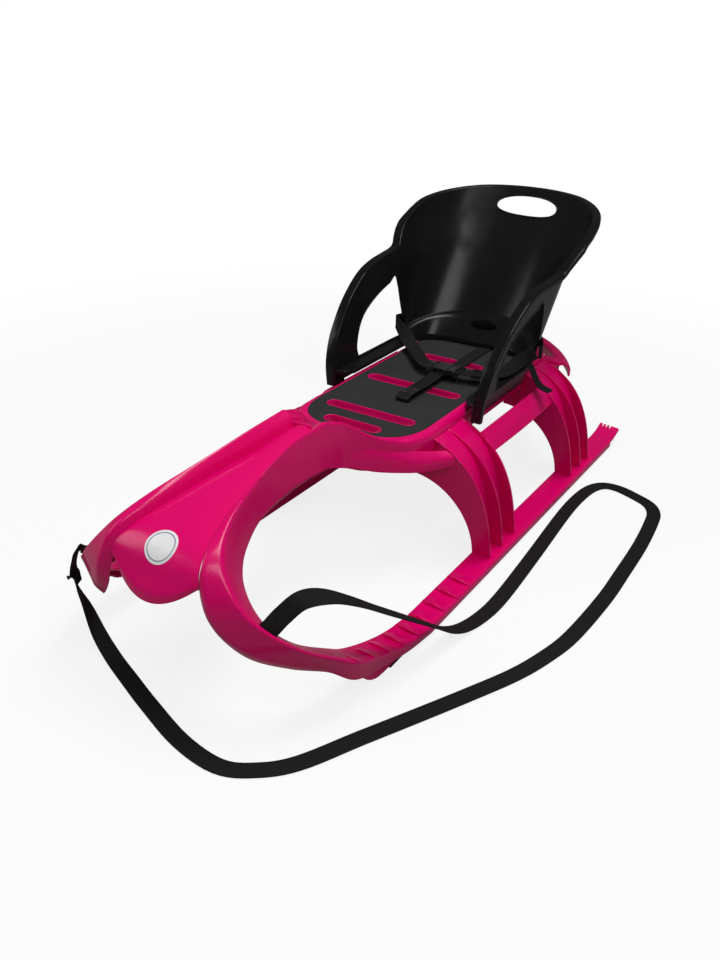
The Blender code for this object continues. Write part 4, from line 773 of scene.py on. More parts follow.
def side_rail():
    """The hand rail between the legs, slightly bowed out, an open channel from rib to rib."""
    sections = []
    for step in range(RAIL_STEPS + 1):
        share = step / RAIL_STEPS
        bow = 0.0025 * math.sin(math.pi * share)
        row = [Vector((x + bow * (index > 1), 0, z)) for index, (x, z) in enumerate(SIDE_RAIL)]
        loop = soft_shell(row, Vector((0, 1, 0)).cross, (0.0035, 0.004))
        section = []
        for point in loop:
            start = leaning(LEG_RIB_Y[0][-1], LEG_LEAN[0], point.z)
            end = leaning(LEG_RIB_Y[1][0], LEG_LEAN[1], point.z)
            section.append(Vector((point.x, blend(start, end, share), point.z)))
        sections.append(section)
    return skin("side_rail", sections)


def strap_side():
    """The way the pull strap's width lies where it comes out of the horn, across the band."""
    rows = horn_rows()
    return (rows[7][2] + rows[7][1] - rows[6][2] - rows[6][1]).normalized()


def slot_tool():
    """The slot that the pull strap comes out of, square to the band."""
    start, way = Vector(PULL_ROUTE[1]), (Vector(PULL_ROUTE[2]) - Vector(PULL_ROUTE[0])).normalized()
    side = strap_side()
    up = side.cross(way).normalized()
    half_width, half_thick = WEBBING / 2 + 0.0009, PULL_THICK / 2 + 0.0029
    sections = []
    for reach in (-0.016, 0.012):
        centre = start + way * reach
        corners = [centre + side * half_width * a + up * half_thick * b
                   for a, b in ((-1, -1), (1, -1), (1, 1), (-1, 1))]
        sections.append(rounded(corners, [0.0025] * 4, 5))
    return skin("slot", sections)


def keel(rows):
    """The rib under the runner that the rail lies on, swelling forward into a boss."""
    end = HALF_LENGTH - TAIL_LENGTH - 0.004
    places = [RAIL_FRONT_Y - ahead for ahead in (0.085, 0.055, 0.020)] + [-0.300, -0.262, -0.210, end]
    upper = []
    for y in places:
        ridge, hole = runner_top(rows, y)
        upper.append((y, (ridge.z + hole.z) / 2 - WALL * 0.6))
    nose = RAIL_FRONT_Y - 0.017
    lower = curve_through([(nose - back, KEEL_FOOT + rise, 0) for back, rise in KEEL_NOSE], 5)
    outline = upper + [(end, KEEL_FOOT)] + [(point.x, point.y) for point in lower]
    inner, outer = RUNNER_MID - KEEL_HALF_WIDTH, RUNNER_MID + KEEL_HALF_WIDTH
    return soften(prism("keel", outline, "x", inner, outer), 0.0012, 2, 50)


def side_frame():
    """The left horn and runner in one band, with its keel, boot steps, legs and hand rail."""
    rows = band(HOOD_STEPS) + straight_rows()
    shell = skin("horn", [soft_shell(row, along(rows, index).cross, (0.0035, 0.0075, 0.0055))
                          for index, row in enumerate(rows)])
    tools = [slot_tool()]
    for tooth in range(TAIL_OPENINGS):
        x = RUNNER_INNER + 0.006 + tooth * TAIL_OPENING_PITCH
        outline = oblong(x, TAIL_OPENING_Y, x + TAIL_OPENING_WIDTH, HALF_LENGTH + 0.0125)
        tools.append(prism("tooth", outline, "z", 0.0, 0.08))
    cut(shell, joined("openings", tools))
    pieces = [shell, keel(rows)]
    runner = [row for row in rows if row[2].y > -0.5 and row[2].z < 0.15]
    for number in range(STEP_COUNT):
        pieces.append(boot_step(runner, blend(STEP_FRONT_Y, STEP_REAR_Y, number / (STEP_COUNT - 1))))
    for ribs, lean in zip(LEG_RIB_Y, LEG_LEAN):
        pieces.append(leg_web(ribs[0], ribs[-1], lean))
        pieces += [leg_rib(y, lean) for y in ribs]
    pieces.append(side_rail())
    return joined("horn_and_runner_left", pieces, pink)


def deck_section(y):
    """Half of the deck's outline at one place along: foot, rim, shoulder, pad edge, middle."""
    neck = band(1)[0]
    first = (NECK_Y, neck[3].z - 0.0065, (neck[3].x - 0.0015, neck[3].z - 0.0095),
             (neck[3].x + 0.0005, neck[3].z - 0.0005), (neck[2].x, neck[2].z - 0.0002), neck[1].z)
    rows = (first,) + DECK_ROWS
    keys = [row[0] for row in rows]

    def read(pick):
        """One measure of the rows, read at this place."""
        return value_at(keys, [pick(row) for row in rows], y)
    pairs = [(read(lambda row: row[index][0]), read(lambda row: row[index][1])) for index in (4, 3, 2)]
    foot_x = pairs[0][0] + 0.004 * clamp((NECK_Y + 0.04 - y) / 0.04)
    return [(foot_x, read(lambda row: row[5]))] + pairs + [(0.0, read(lambda row: row[1]))]


def deck_plate():
    """The deck's sheet with its skirts, from the neck to its rear edge."""
    places = [blend(NECK_Y - 0.002, -0.080, step / 48) for step in range(49)]
    places += [blend(-0.080, 0.370, step / 30) for step in range(1, 31)]
    places += [0.375, 0.379, 0.383, 0.386, 0.389, 0.391, 0.392]
    sections = []
    for y in places:
        half = [Vector((x, y, z)) for x, z in deck_section(y)]
        reaches = (0.009, 0.006, 0.004, 0.0, 0.004, 0.006, 0.009)
        whole = half + [other_side(point) for point in half[-2::-1]]
        sections.append(soft_shell(whole, Vector((0, -1, 0)).cross, reaches))
    return skin("deck", sections, pink, sharp=50)


def slot_outline(middle, half, out, sides=16):
    """A slot's outline with round ends, lying along X, let out on all sides."""
    radius = (SLOT_WIDTH + 2 * out) / 2
    reach = half + out - radius
    outline = []
    for end, start in ((1, -math.pi / 2), (-1, math.pi / 2)):
        for step in range(sides + 1):
            angle = start + math.pi * step / sides
            outline.append((end * reach + radius * math.cos(angle), middle + radius * math.sin(angle)))
    return outline


def pad_outline(spare):
    """Outline of the pad, drawn in to a blunt round front."""
    half = PAD_HALF_WIDTH + spare
    points = [(half, PAD_REAR_Y + spare)]
    for step in range(PAD_STEPS + 1):
        angle = math.pi / 2 * step / PAD_STEPS
        back = (PAD_NOSE + spare) * math.sin(angle) ** (2 / PAD_POWER)
        points.append((half * math.cos(angle) ** (2 / PAD_POWER), PAD_FRONT_Y + PAD_NOSE - back))
    return points + [(-x, y) for x, y in points[-2::-1]]


def collar(middle, half):
    """The raised lip round one slot, with a rounded crown."""
    low, high = DECK_HEIGHT - COLLAR_DEPTH, PAD_TOP + 0.0006
    sections = []
    for out, near in zip(slot_outline(middle, half, COLLAR), slot_outline(middle, half, 0)):
        loop = [Vector((*out, low)), Vector((*out, high)), Vector((*near, high)), Vector((*near, low))]
        sections.append(rounded(loop, (0.0002, 0.0009, 0.0009, 0.0002), 4))
    return skin("collar", sections, pink, ring=True)


def hood_edge(rows, index):
    """Where the hood's sheet leaves the band's fold, and the way down the fold there."""
    row = rows[index]
    step = (row[4] - row[3]).normalized()
    return row[3] + step * HOOD_EDGE - along(rows, index).cross(step).normalized() * 0.0006, step


def hood_row(edge, step, share):
    """One crowned row across the hood and back inside it; share counts the horn's rows."""
    end = clamp((share - 4.0) * 2)
    rise = CROWN - 0.002 * clamp(share - 3.5) - 0.007 * end
    upper, lower = [], []
    half = HOOD_ACROSS // 2
    for part in range(-half, half + 1):
        share = part / half
        bulge = 1 - share * share
        point = Vector((edge.x * share, edge.y - 0.006 * end * bulge, edge.z + rise * bulge))
        sink = Vector((step.x * share * abs(share), step.y, step.z)).normalized() * WALL
        upper.append(point)
        lower.append(point + sink)
    return upper + lower[::-1]


def nose_row(before, foot, edge, t):
    """One row of the nose, which rolls on from the hood's last rows and turns down to a bowed lip."""
    row = []
    for part, (back, start) in enumerate(zip(before, foot)):
        share = part * 2 / HOOD_ACROSS - 1
        bulge = 1 - share * share
        tip = Vector((edge.x * share * 0.93, blend(edge.y, -HALF_LENGTH + 0.0005, bulge),
                      edge.z - 0.010 - 0.030 * bulge))
        reach = (tip - start).length
        out = start + (start - back).normalized() * reach * 0.62
        low = tip + Vector((0, 0, reach * 0.42))
        row.append(start * (1 - t) ** 3 + out * 3 * t * (1 - t) ** 2 + low * 3 * t * t * (1 - t)
                   + tip * t ** 3)
    inner = [point + Vector((0, WALL * t, -WALL * (1 - t) - 0.0005)) for point in row]
    return row + inner[::-1]


def hood():
    """The crowned sheet between the two bands, from the neck down to the nose."""
    rows = band(HOOD_STEPS)
    last = int(HOOD_END * HOOD_STEPS)
    sections = []
    for index in range(-1, last + 1):
        edge, step = hood_edge(rows, max(index, 0))
        if index < 1:
            edge = Vector((edge.x - 0.0016, NECK_Y + 0.006 * (index < 0), edge.z - 0.0012))
            step = Vector((0, 0, -1))
        sections.append(hood_row(edge, step, index / HOOD_STEPS))
    before, foot = (section[:HOOD_ACROSS + 1] for section in sections[-2:])
    edge = hood_edge(rows, last)[0]
    sections += [nose_row(before, foot, edge, turn / NOSE_STEPS) for turn in range(1, NOSE_STEPS + 1)]
    return skin("hood", sections, pink, sharp=50)


def front_rail(side):
    """The hand rail that grows out of the neck's skirt and ends at the front leg."""
    keys = [row[0] for row in FRONT_RAIL]
    sections = []
    for place in range(FRONT_RAIL_STEPS + 1):
        end = place / FRONT_RAIL_STEPS
        y = blend(keys[0], keys[-1], end)
        top, fold, foot = ([value_at(keys, [row[part][axis] for row in FRONT_RAIL], y)
                            for axis in (0, 1)] for part in (1, 2, 3))
        inner = (top[0] - 0.0015, foot[1] + 0.003)
        row = [Vector((x, y, z)) for x, z in (inner, top, fold, foot)]
        wall = min(WALL, (row[-1].x - row[0].x) * 0.3)
        section = []
        for point in soft_shell(row, Vector((0, 1, 0)).cross, (0.004, 0.0085), wall):
            shift = leaning(LEG_RIB_Y[0][0], LEG_LEAN[0], point.z) - RIB / 2 - keys[-1]
            section.append(Vector((side * point.x, point.y + shift * end ** 3, point.z)))
        sections.append(section)
    return skin("front_rail", sections, pink, sharp=50)


def label(body):
    """A plain white disc with a thin ring, laid on the hood's nose."""
    bpy.context.view_layer.update()
    centre, up = Vector(LABEL_SPOT), Vector(LABEL_FACING).normalized()
    across = Vector((1, 0, 0))
    upwards = up.cross(across)
    rings = []
    for lift, shares in ((LABEL_LIFT, (0.03, 0.3, 0.6, 0.8, 0.9, 0.97, 1.0)),
                         (-LABEL_LIFT, (1.0, 0.6, 0.03))):
        for share in shares:
            ring = []
            for step in range(LABEL_SIDES):
                angle = 2 * math.pi * step / LABEL_SIDES
                way = across * math.cos(angle) + upwards * math.sin(angle)
                _, spot, _, _ = body.ray_cast(centre + way * LABEL_RADIUS * share + up * 0.02, -up)
                ring.append(spot + up * lift)
            rings.append(ring)
    paint = Finish("white label", (0.86, 0.86, 0.87), 0.30, Specular_IOR_Level=0.4)
    away = paint.away_from(centre)
    start, end = (paint.fade(away, LABEL_RADIUS * edge, LABEL_RADIUS * (edge + LABEL_RING_EDGE))
                  for edge in LABEL_RING)
    white = paint.mix(paint.noise(90.0, 3.0), (0.84, 0.84, 0.85), (0.88, 0.88, 0.89))
    paint.set(Base_Color=paint.mix(start - end, white, (0.16, 0.19, 0.26)))
    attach(skin("label", rings, paint.material), "sled")


def bow_spot(angle, inset):
    """A place on the bow behind the seat, drawn in from its outer edge."""
    across, back = math.cos(angle), math.sin(angle)
    power = 2 / BOW_POWER
    spot = Vector((BOW_HALF_WIDTH * math.copysign(abs(across) ** power, across),
                   BOW_Y + BOW_REACH * back ** power, 0))
    slope = 2 - power
    out = Vector((math.copysign(abs(across) ** slope, across) / BOW_HALF_WIDTH,
                  back ** slope / BOW_REACH, 0)).normalized()
    return spot - out * inset


def rear_rail():
    """The bow behind the seat, an open channel from one rear leg round to the other."""
    first = math.radians(BOW_START)
    profile = ((BOW_WIDTH, BOW_FOOT + 0.004), (BOW_WIDTH, BOW_TOP - 0.001),
               (BOW_WIDTH * 0.45, BOW_TOP + 0.0005), (0.0, BOW_TOP - 0.007), (0.0, BOW_FOOT))
    rows = []
    for step in range(BOW_STEPS + 1):
        angle = blend(first, math.pi - first, step / BOW_STEPS)
        rows.append([bow_spot(angle, inset) + Vector((0, 0, height)) for inset, height in profile])
    sections = [soft_shell(row, along(rows, max(index, 1)).cross, (0.005, 0.012, 0.006))
                for index, row in enumerate(rows)]
    return skin("rear_rail", sections, pink, sharp=50)


def deck():
    """Deck, hood and hand rails in one, with the recess and slots, and what stiffens them below."""
    plate = deck_plate()
    cut(plate, prism("recess", pad_outline(GAP), "z", PAD_SEAT, 0.26))
    for middle, half in SLOTS:
        cut(plate, prism("slot", slot_outline(middle, half, COLLAR * 0.5, 10), "z", CUT_FOOT, 0.26))
    pieces = [plate, hood(), rear_rail()]
    pieces += [collar(middle, half) for middle, half in SLOTS]
    near = leaning(LEG_RIB_Y[1][-1], LEG_LEAN[1], ARM_Z[0])
    arm = oblong(near, ARM_Z[0], near + ARM_LENGTH, ARM_Z[1])
    for side in (-1, 1):
        pieces.append(front_rail(side))
        inner, outer = side * (DECK_WALL_X - DECK_WALL_HALF), side * (DECK_WALL_X + DECK_WALL_HALF)
        for ribs, lean in zip(LEG_RIB_Y, LEG_LEAN):
            wall = [(leaning(ribs[0], lean, z) - 0.006, z) for z in DECK_WALL_Z]
            wall += [(leaning(ribs[-1], lean, z) + 0.006, z) for z in DECK_WALL_Z[::-1]]
            pieces.append(soften(prism("wall", wall, "x", inner, outer), 0.0008))
        pieces.append(soften(prism("arm", arm, "x", side * ARM_X[0], side * ARM_X[1]), 0.0015))
    for y in STIFFENER_Y:
        pieces.append(prism("stiffener", oblong(-0.115, 0.208, 0.115, 0.2325), "y",
                            y - STIFFENER_HALF, y + STIFFENER_HALF))
    return joined("deck_and_hood", pieces, pink)


def strap(name, route, sides, width=WEBBING, thick=LAP_THICK):
    """Flat webbing along a smooth route, with a UV map in metres along and across it."""
    middle, across = curve_through(route, STRAP_STEPS), curve_through(sides, STRAP_STEPS)
    sections, run = [], [0.0]
    for index, point in enumerate(middle):
        way = (middle[min(index + 1, len(middle) - 1)] - middle[max(index - 1, 0)]).normalized()
        side = (across[index] - way * across[index].dot(way)).normalized()
        up = way.cross(side)
        if index:
            run.append(run[-1] + (point - middle[index - 1]).length)
        sections.append([point + side * (width / 2) * a + up * (thick / 2 * b)
                         for a, b in STRAP_SECTION])
    piece = skin(name, sections, webbing, sharp=60)
    layer = piece.data.uv_layers.new(name="UVMap")
    for corner in piece.data.loops:
        row, column = divmod(corner.vertex_index, len(STRAP_SECTION))
        layer.data[corner.index].uv = (run[row], STRAP_SECTION[column][0] * width / 2)
    return piece


def stitch_tree():
    """Geometry Nodes group that lays short threads along every edge line it is given."""
    tree = bpy.data.node_groups.new("stitches", "GeometryNodeTree")
    face = tree.interface
    face.new_socket("Lines", in_out="INPUT", socket_type="NodeSocketGeometry")
    for name, value in (("Pitch", 0.0030), ("Thread Length", 0.0023), ("Thread Width", 0.0009)):
        face.new_socket(name, in_out="INPUT", socket_type="NodeSocketFloat").default_value = value
    face.new_socket("Thread", in_out="INPUT", socket_type="NodeSocketMaterial")
    face.new_socket("Stitches", in_out="OUTPUT", socket_type="NodeSocketGeometry")
    given, result = (tree.nodes.new(kind) for kind in ("NodeGroupInput", "NodeGroupOutput"))
    curve = tree.nodes.new("GeometryNodeMeshToCurve")
    spaced = tree.nodes.new("GeometryNodeResampleCurve")
    spaced.mode = "LENGTH"
    thread = tree.nodes.new("GeometryNodeMeshUVSphere")
    thread.inputs["Segments"].default_value, thread.inputs["Rings"].default_value = 8, 6
    thread.inputs["Radius"].default_value = 0.5
    shaped = tree.nodes.new("GeometryNodeTransform")
    size = tree.nodes.new("ShaderNodeCombineXYZ")
    tangent = tree.nodes.new("GeometryNodeInputTangent")
    turned = tree.nodes.new("FunctionNodeAlignRotationToVector")
    turned.axis = "X"
    placed = tree.nodes.new("GeometryNodeInstanceOnPoints")
    real = tree.nodes.new("GeometryNodeRealizeInstances")
    coloured = tree.nodes.new("GeometryNodeSetMaterial")
    for source, name, target, socket in (
            (given, "Lines", curve, "Mesh"), (curve, "Curve", spaced, "Curve"),
            (given, "Pitch", spaced, "Length"), (given, "Thread Length", size, "X"),
            (given, "Thread Width", size, "Y"), (given, "Thread Width", size, "Z"),
            (thread, "Mesh", shaped, "Geometry"), (size, "Vector", shaped, "Scale"),
            (spaced, "Curve", placed, "Points"), (shaped, "Geometry", placed, "Instance"),
            (tangent, "Tangent", turned, "Vector"), (turned, "Rotation", placed, "Rotation"),
            (placed, "Instances", real, "Geometry"), (real, "Geometry", coloured, "Geometry"),
            (given, "Thread", coloured, "Material"), (coloured, "Geometry", result, "Stitches")):
        tree.links.new(source.outputs[name], target.inputs[socket])
    return tree


def stitches(name, lines, material):
    """Threads along lines of places, as a plain mesh made by the stitch group."""
    spots, edges = [], []
    for line in lines:
        first = len(spots)
        spots += [tuple(spot) for spot in line]
        edges += [(first + step, first + step + 1) for step in range(len(line) - 1)]
    guide = linked(name + "_lines", bpy.data.meshes.new(name + "_lines"))
    guide.data.from_pydata(spots, edges, [])
    nodes = guide.modifiers.new("stitches", "NODES")
    nodes.node_group = stitch_tree()
    for socket in nodes.node_group.interface.items_tree:
        if socket.in_out == "INPUT" and socket.name == "Thread":
            nodes[socket.identifier] = material
    graph = bpy.context.evaluated_depsgraph_get()
    made = bpy.data.meshes.new_from_object(guide.evaluated_get(graph))
    bpy.data.objects.remove(guide)
    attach(linked(name, made), "sled")


def sewn_box(x, z, half):
    """A box with a cross in it, as webbing is sewn on itself."""
    corners = [(x + across, y, z) for across, y in oblong(-half, SEWN_Y[0], half, SEWN_Y[1])]
    return [corners + corners[:1], [corners[0], corners[2]], [corners[1], corners[3]]]


def pull_strap():
    """The long webbing from horn to horn; it comes out across each band and lies on the ground."""
    near_side = strap_side()
    far_side = other_side(near_side)
    sides = []
    last = len(PULL_ROUTE) - 1
    for index in range(last + 1):
        before, after = PULL_ROUTE[max(index - 1, 0)], PULL_ROUTE[min(index + 1, last)]
        way = (Vector(after) - Vector(before)).normalized()
        flat = Vector((0, 0, 1)).cross(way).normalized()
        near, far = max(0.0, 1 - index / PULL_TURNS[0]), max(0.0, 1 - (last - index) / PULL_TURNS[1])
        turned = far_side if far_side.dot(flat) > 0 else -far_side
        sides.append(tuple(flat * (1 - near - far) - near_side * near + turned * far))
    piece = finish_piece(strap("pull_webbing", PULL_ROUTE, sides, WEBBING, PULL_THICK),
                         "pull_strap")
    middle = curve_through(PULL_ROUTE, STRAP_STEPS)
    length = sum((b - a).length for a, b in zip(middle, middle[1:]))


def pad():
    """The foam pad in the deck's recess, open round the slots' collars."""
    mat = prism("pad", pad_outline(0.0), "z", PAD_SEAT + GAP, PAD_TOP, rubber)
    slots = [prism("slot", slot_outline(middle, half, COLLAR + 0.0006), "z", CUT_FOOT, 0.3)
             for middle, half in SLOTS]
    cut(mat, joined("slots", slots))
    finish_piece(soften(mat, 0.0008, 3, 40), "seat_pad")


def ease(share):
    """A share that starts and ends gently."""
    share = clamp(share)
    return share * share * (3 - 2 * share)


def flare(z):
    """How far the shoulders stand out from the sides at a height."""
    return FLARE * ease((z - FLARE_HEIGHT) / FLARE_RISE)


def seat_half_width(z):
    """Inner half width of the backrest at a height; it flares towards the top."""
    return SEAT_HALF_WIDTH + SIDE_SPREAD * (z - SPREAD_HEIGHT) + flare(z)


def seat_side(y, z):
    """Inner face of a side: the flare is full where the back starts and fades towards the front."""
    return seat_half_width(z) - flare(z) * (1 - ease((y - FLARE_Y) / FLARE_LENGTH))


def seat_plan(share, z):
    """Inner face of the back at a height; share runs from the side (0) to the middle (1)."""
    half = seat_half_width(z)
    rear = BACK_FOOT_Y + BACK_LEAN * (z - SPREAD_HEIGHT)
    start = CURVE_Y + CURVE_LEAN * (z - SPREAD_HEIGHT)
    angle = math.pi / 2 * share
    spot = Vector((half * math.cos(angle), start + (rear - start) * math.sin(angle), z))
    facing = Vector((math.cos(angle) / half, math.sin(angle) / (rear - start), 0)).normalized()
    return spot, facing


def seat_point(y, z):
    """The inner face at a place along and up, with the way it faces outwards."""
    start = seat_plan(0.0, z)[0].y
    if y <= start:
        return Vector((seat_side(y, z), y, z)), Vector((1, 0, 0))
    depth = seat_plan(1.0, z)[0].y - start
    return seat_plan(math.asin(min((y - start) / depth, 1.0)) * 2 / math.pi, z)


def seat_edge():
    """The free edge from the left foot over the armrest and round to the back's middle."""
    arm = curve_through([(0, y, z) for y, z in ARM_EDGE], EDGE_STEPS)
    last = len(BACK_EDGE) - 1
    back = curve_through([(blend(BACK_EDGE_START, 1.0, index / last), z, 0)
                          for index, z in enumerate(BACK_EDGE)], EDGE_STEPS)
    edge = [seat_point(spot.y, spot.z) for spot in arm]
    return edge + [seat_plan(min(spot.x, 1.0), spot.y) for spot in back]


def back_wall():
    """The upright wall from one side round the back to the other, before it is trimmed."""
    levels = [blend(SEAT_BASE, SEAT_TOP + 0.02, step / WALL_ROWS) for step in range(WALL_ROWS + 1)]
    columns = []
    for step in range(SIDE_COLUMNS + BACK_COLUMNS):
        inner, outer = [], []
        for z in levels:
            if step < SIDE_COLUMNS:
                y = blend(SEAT_FRONT_Y + 0.0008, seat_plan(0.0, z)[0].y, step / SIDE_COLUMNS)
                spot, facing = Vector((seat_side(y, z), y, z)), Vector((1, 0, 0))
            else:
                spot, facing = seat_plan((step - SIDE_COLUMNS) / (BACK_COLUMNS - 1), z)
            inner.append(spot)
            outer.append(spot + facing * SHELL)
        columns.append(inner + outer[::-1])
    columns += [[other_side(point) for point in column] for column in columns[-2::-1]]
    return skin("wall", columns)


def turned_over(pairs):
    """Places and facings on the other side, in turned order."""
    return [(other_side(spot), other_side(facing)) for spot, facing in pairs[::-1]]


def rolled_edge():
    """The flange along the free edge, with its outer lip turned down."""
    half = seat_edge()
    edge = half + turned_over(half[:-1])
    count = len(edge)
    arm_length = (len(ARM_EDGE) - 1) * EDGE_STEPS
    reaches = (0.001, 0.002, 0.0032, 0.0026, 0.0008, 0.0008, 0.002, 0.003, 0.001)
    low = SHELL + FLANGE_LIP
    sections = []
    for index, (spot, facing) in enumerate(edge):
        way = edge[min(index + 1, count - 1)][0] - edge[max(index - 1, 0)][0]
        way = (way - facing * way.dot(facing)).normalized()
        down = way.cross(facing).normalized()
        side = min(index, count - 1 - index)
        width = blend(ARM_FLANGE, BACK_FLANGE, clamp((side - arm_length + 4) / 6))
        section = ((0.0016, 0.0100), (-0.0002, 0.0065), (-0.0002, -0.0012), (width + 0.0010, -0.0012),
                   (width + 0.0010, low), (width - 0.0018, low), (width - 0.0030, SHELL - 0.0010),
                   (SHELL + 0.0006, SHELL - 0.0010), (SHELL - 0.0010, 0.0100))
        loop = [spot + facing * out + down * drop for out, drop in section]
        sections.append(rounded(loop, reaches, 4))
    return skin("flange", sections, sharp=50)


def ledge():
    """The slope at the foot of the back, from the pad up to the wall."""
    reaches = (0.0008, 0.0030, 0.011, 0.0005, 0.001, 0.003, 0.0008)
    sections = []
    for step in range(-LEDGE_STEPS, LEDGE_STEPS + 1):
        share = 1 - abs(step) / LEDGE_STEPS * 0.90
        angle = math.pi / 2 * share
        top = blend(SILL_TOP + 0.004, LEDGE_TOP, math.sin(angle) ** 0.8)
        sign = -1 if step < 0 else 1
        rear, facing = seat_plan(share, top)
        rear = rear + facing * (SHELL * 0.6)
        front = Vector((LEDGE_HALF_WIDTH * math.cos(angle) ** 0.5 if step else 0.0,
                        blend(LEDGE_SIDE_Y, LEDGE_FRONT_Y, math.sin(angle) ** 0.5), 0))
        way = Vector((rear.x - front.x, rear.y - front.y, 0)).normalized()
        section = []
        for spot, reach, height in ((front, 0.0, PAD_TOP + 0.0008), (front, 0.0, SILL_TOP + 0.0006),
                                    (rear, -0.017, top + 0.0020), (rear, 0.0, top + 0.0040),
                                    (rear, 0.0, top - 0.0045), (front, 0.0048, SILL_TOP - 0.0035),
                                    (front, 0.0036, PAD_TOP + 0.0008)):
            point = spot + way * reach
            section.append(Vector((point.x * sign, point.y, height)))
        sections.append(rounded(section, reaches, 6))
    return skin("ledge", sections, sharp=50)


def rim(name, outline):
    """A rounded bead round an opening in the shell; outline is a closed list of place and facing."""
    count = len(outline)
    section = oblong(0.0022, -0.0007, -0.0012, SHELL + 0.0007)
    sections = []
    for index, (spot, facing) in enumerate(outline):
        way = (outline[(index + 1) % count][0] - outline[index - 1][0]).normalized()
        inwards = way.cross(facing).normalized()
        loop = [spot + inwards * across + facing * out for across, out in section]
        sections.append(rounded(loop, (0.0008, 0.0016, 0.0016, 0.0008), 4))
    return skin(name, sections, ring=True)


def oval(centre, reach, rise, power, count):
    """A closed superellipse: an ellipse at a power of two, squarer above it."""
    points = []
    for step in range(count):
        across, up = (turn(2 * math.pi * step / count) for turn in (math.cos, math.sin))
        points.append((centre[0] + reach * math.copysign(abs(across) ** (2 / power), across),
                       centre[1] + rise * math.copysign(abs(up) ** (2 / power), up)))
    return points


def closed_curve(points, steps):
    """A smooth closed line through points in a plane."""
    count = len(points)
    looped = [points[(index - 2) % count] for index in range(count + 4)]
    fine = curve_through([(*point, 0) for point in looped], steps)
    return [(point.x, point.y) for point in fine[2 * steps:(count + 2) * steps]]


def sill(side):
    """The raised strip beside the pad that the seat stands on."""
    inner, outer = side * SILL_INNER_X, side * (SEAT_HALF_WIDTH + 0.0012)
    outline = [(inner, 0.064), (inner + side * 0.010, 0.045), (outer, SEAT_FRONT_Y + 0.003),
               (outer, 0.250), (side * 0.1255, 0.276), (side * 0.1125, 0.262), (inner, 0.240)]
    return soften(prism("sill", outline, "z", PAD_TOP + 0.0025, SILL_TOP), 0.0022, 3, 40)


def pocket_outline(spare_reach=0.0, spare_rise=0.0):
    """The lens shaped pocket round the seat's screw, let out along its long and its short axis."""
    return oval((0, SEAT_SCREW_Y), POCKET_REACH + spare_reach, POCKET_RISE + spare_rise, 2, 32)


def trimmed_wall(window, hand, hole):
    """The wall with its free edge and foot trimmed, its side windows and its hand hole."""
    wall = back_wall()
    edge = [(spot.y, spot.z) for spot, _ in seat_edge()]
    above = [(SEAT_FRONT_Y - 0.02, 0.7), (SEAT_FRONT_Y - 0.02, edge[0][1])] + edge
    above += [(edge[-1][0] + 0.05, edge[-1][1]), (edge[-1][0] + 0.05, 0.7)]
    cut(wall, prism("above", above, "x", -CUT_REACH, CUT_REACH))
    for near, far, height in FOOT_TRIMS:
        cut(wall, prism("under", oblong(-CUT_REACH, near, CUT_REACH, far), "z", CUT_FOOT, height))
    for side in (1, -1):
        cut(wall, prism("window", window, "x", side * CUT_SIDE[0], side * CUT_SIDE[1]))
    cut(wall, prism("hand", hand, "y", hole.y - 0.035, hole.y + 0.05))
    return wall


def seat():
    """The backrest: wall, flange, ledge with its pocket, sills, and beads round the openings."""
    window = closed_curve(WINDOW, 4)
    hole = seat_plan(1.0, SEAT_TOP - HAND_HOLE_DROP)[0]
    hand = oval((0, hole.z), HAND_HOLE_LENGTH / 2, HAND_HOLE_WIDTH / 2, HAND_HOLE_POWER, 64)
    slope = ledge()
    cut(slope, prism("lens", pocket_outline(), "z", SCREW_POCKET_FLOOR, 0.30))
    gate = oblong(BUCKLE_X - GATE_HALF, GATE_Y[0], BUCKLE_X + GATE_HALF, GATE_Y[1])
    cut(slope, prism("gate", gate, "z", CUT_FOOT, PAD_TOP + 0.0042))
    pieces = [trimmed_wall(window, hand, hole), rolled_edge(), slope, sill(1), sill(-1), screw_pocket()]
    opening = [seat_point(y, z) for y, z in window]
    pieces += [rim("window_rim", opening), rim("window_rim", turned_over(opening))]
    bead = []
    for x, z in hand:
        share = math.acos(min(abs(x) / seat_half_width(z), 1.0)) * 2 / math.pi
        spot, facing = seat_plan(share, z)
        bead.append((other_side(spot), other_side(facing)) if x < 0 else (spot, facing))
    pieces.append(rim("hand_rim", bead))
    finish_piece(joined("backrest", pieces, black), "seat_shell")


def screw_pocket():
    """Wall, floor and rim of the lens shaped pocket round the seat's screw."""
    slope = (LEDGE_TOP - SILL_TOP) / (seat_plan(1.0, LEDGE_TOP)[0].y - LEDGE_FRONT_Y)
    floor = SCREW_POCKET_FLOOR
    sections = []
    for outer, inner in zip(pocket_outline(*POCKET_RIM), pocket_outline()):
        top = max(SILL_TOP + slope * (inner[1] - LEDGE_FRONT_Y) + 0.0006, floor + 0.001)
        bore = (inner[0] * 0.12, blend(SEAT_SCREW_Y, inner[1], 0.3))
        loop = [Vector((*spot, height)) for spot, height in (
            (outer, floor - 0.003), (outer, top), (inner, top), (inner, floor), (bore, floor),
            (bore, floor - 0.003))]
        sections.append(rounded(loop, (0.0003, 0.0008, 0.0008, 0.0012, 0.0003, 0.0003), 3))
    return skin("cup", sections, ring=True)


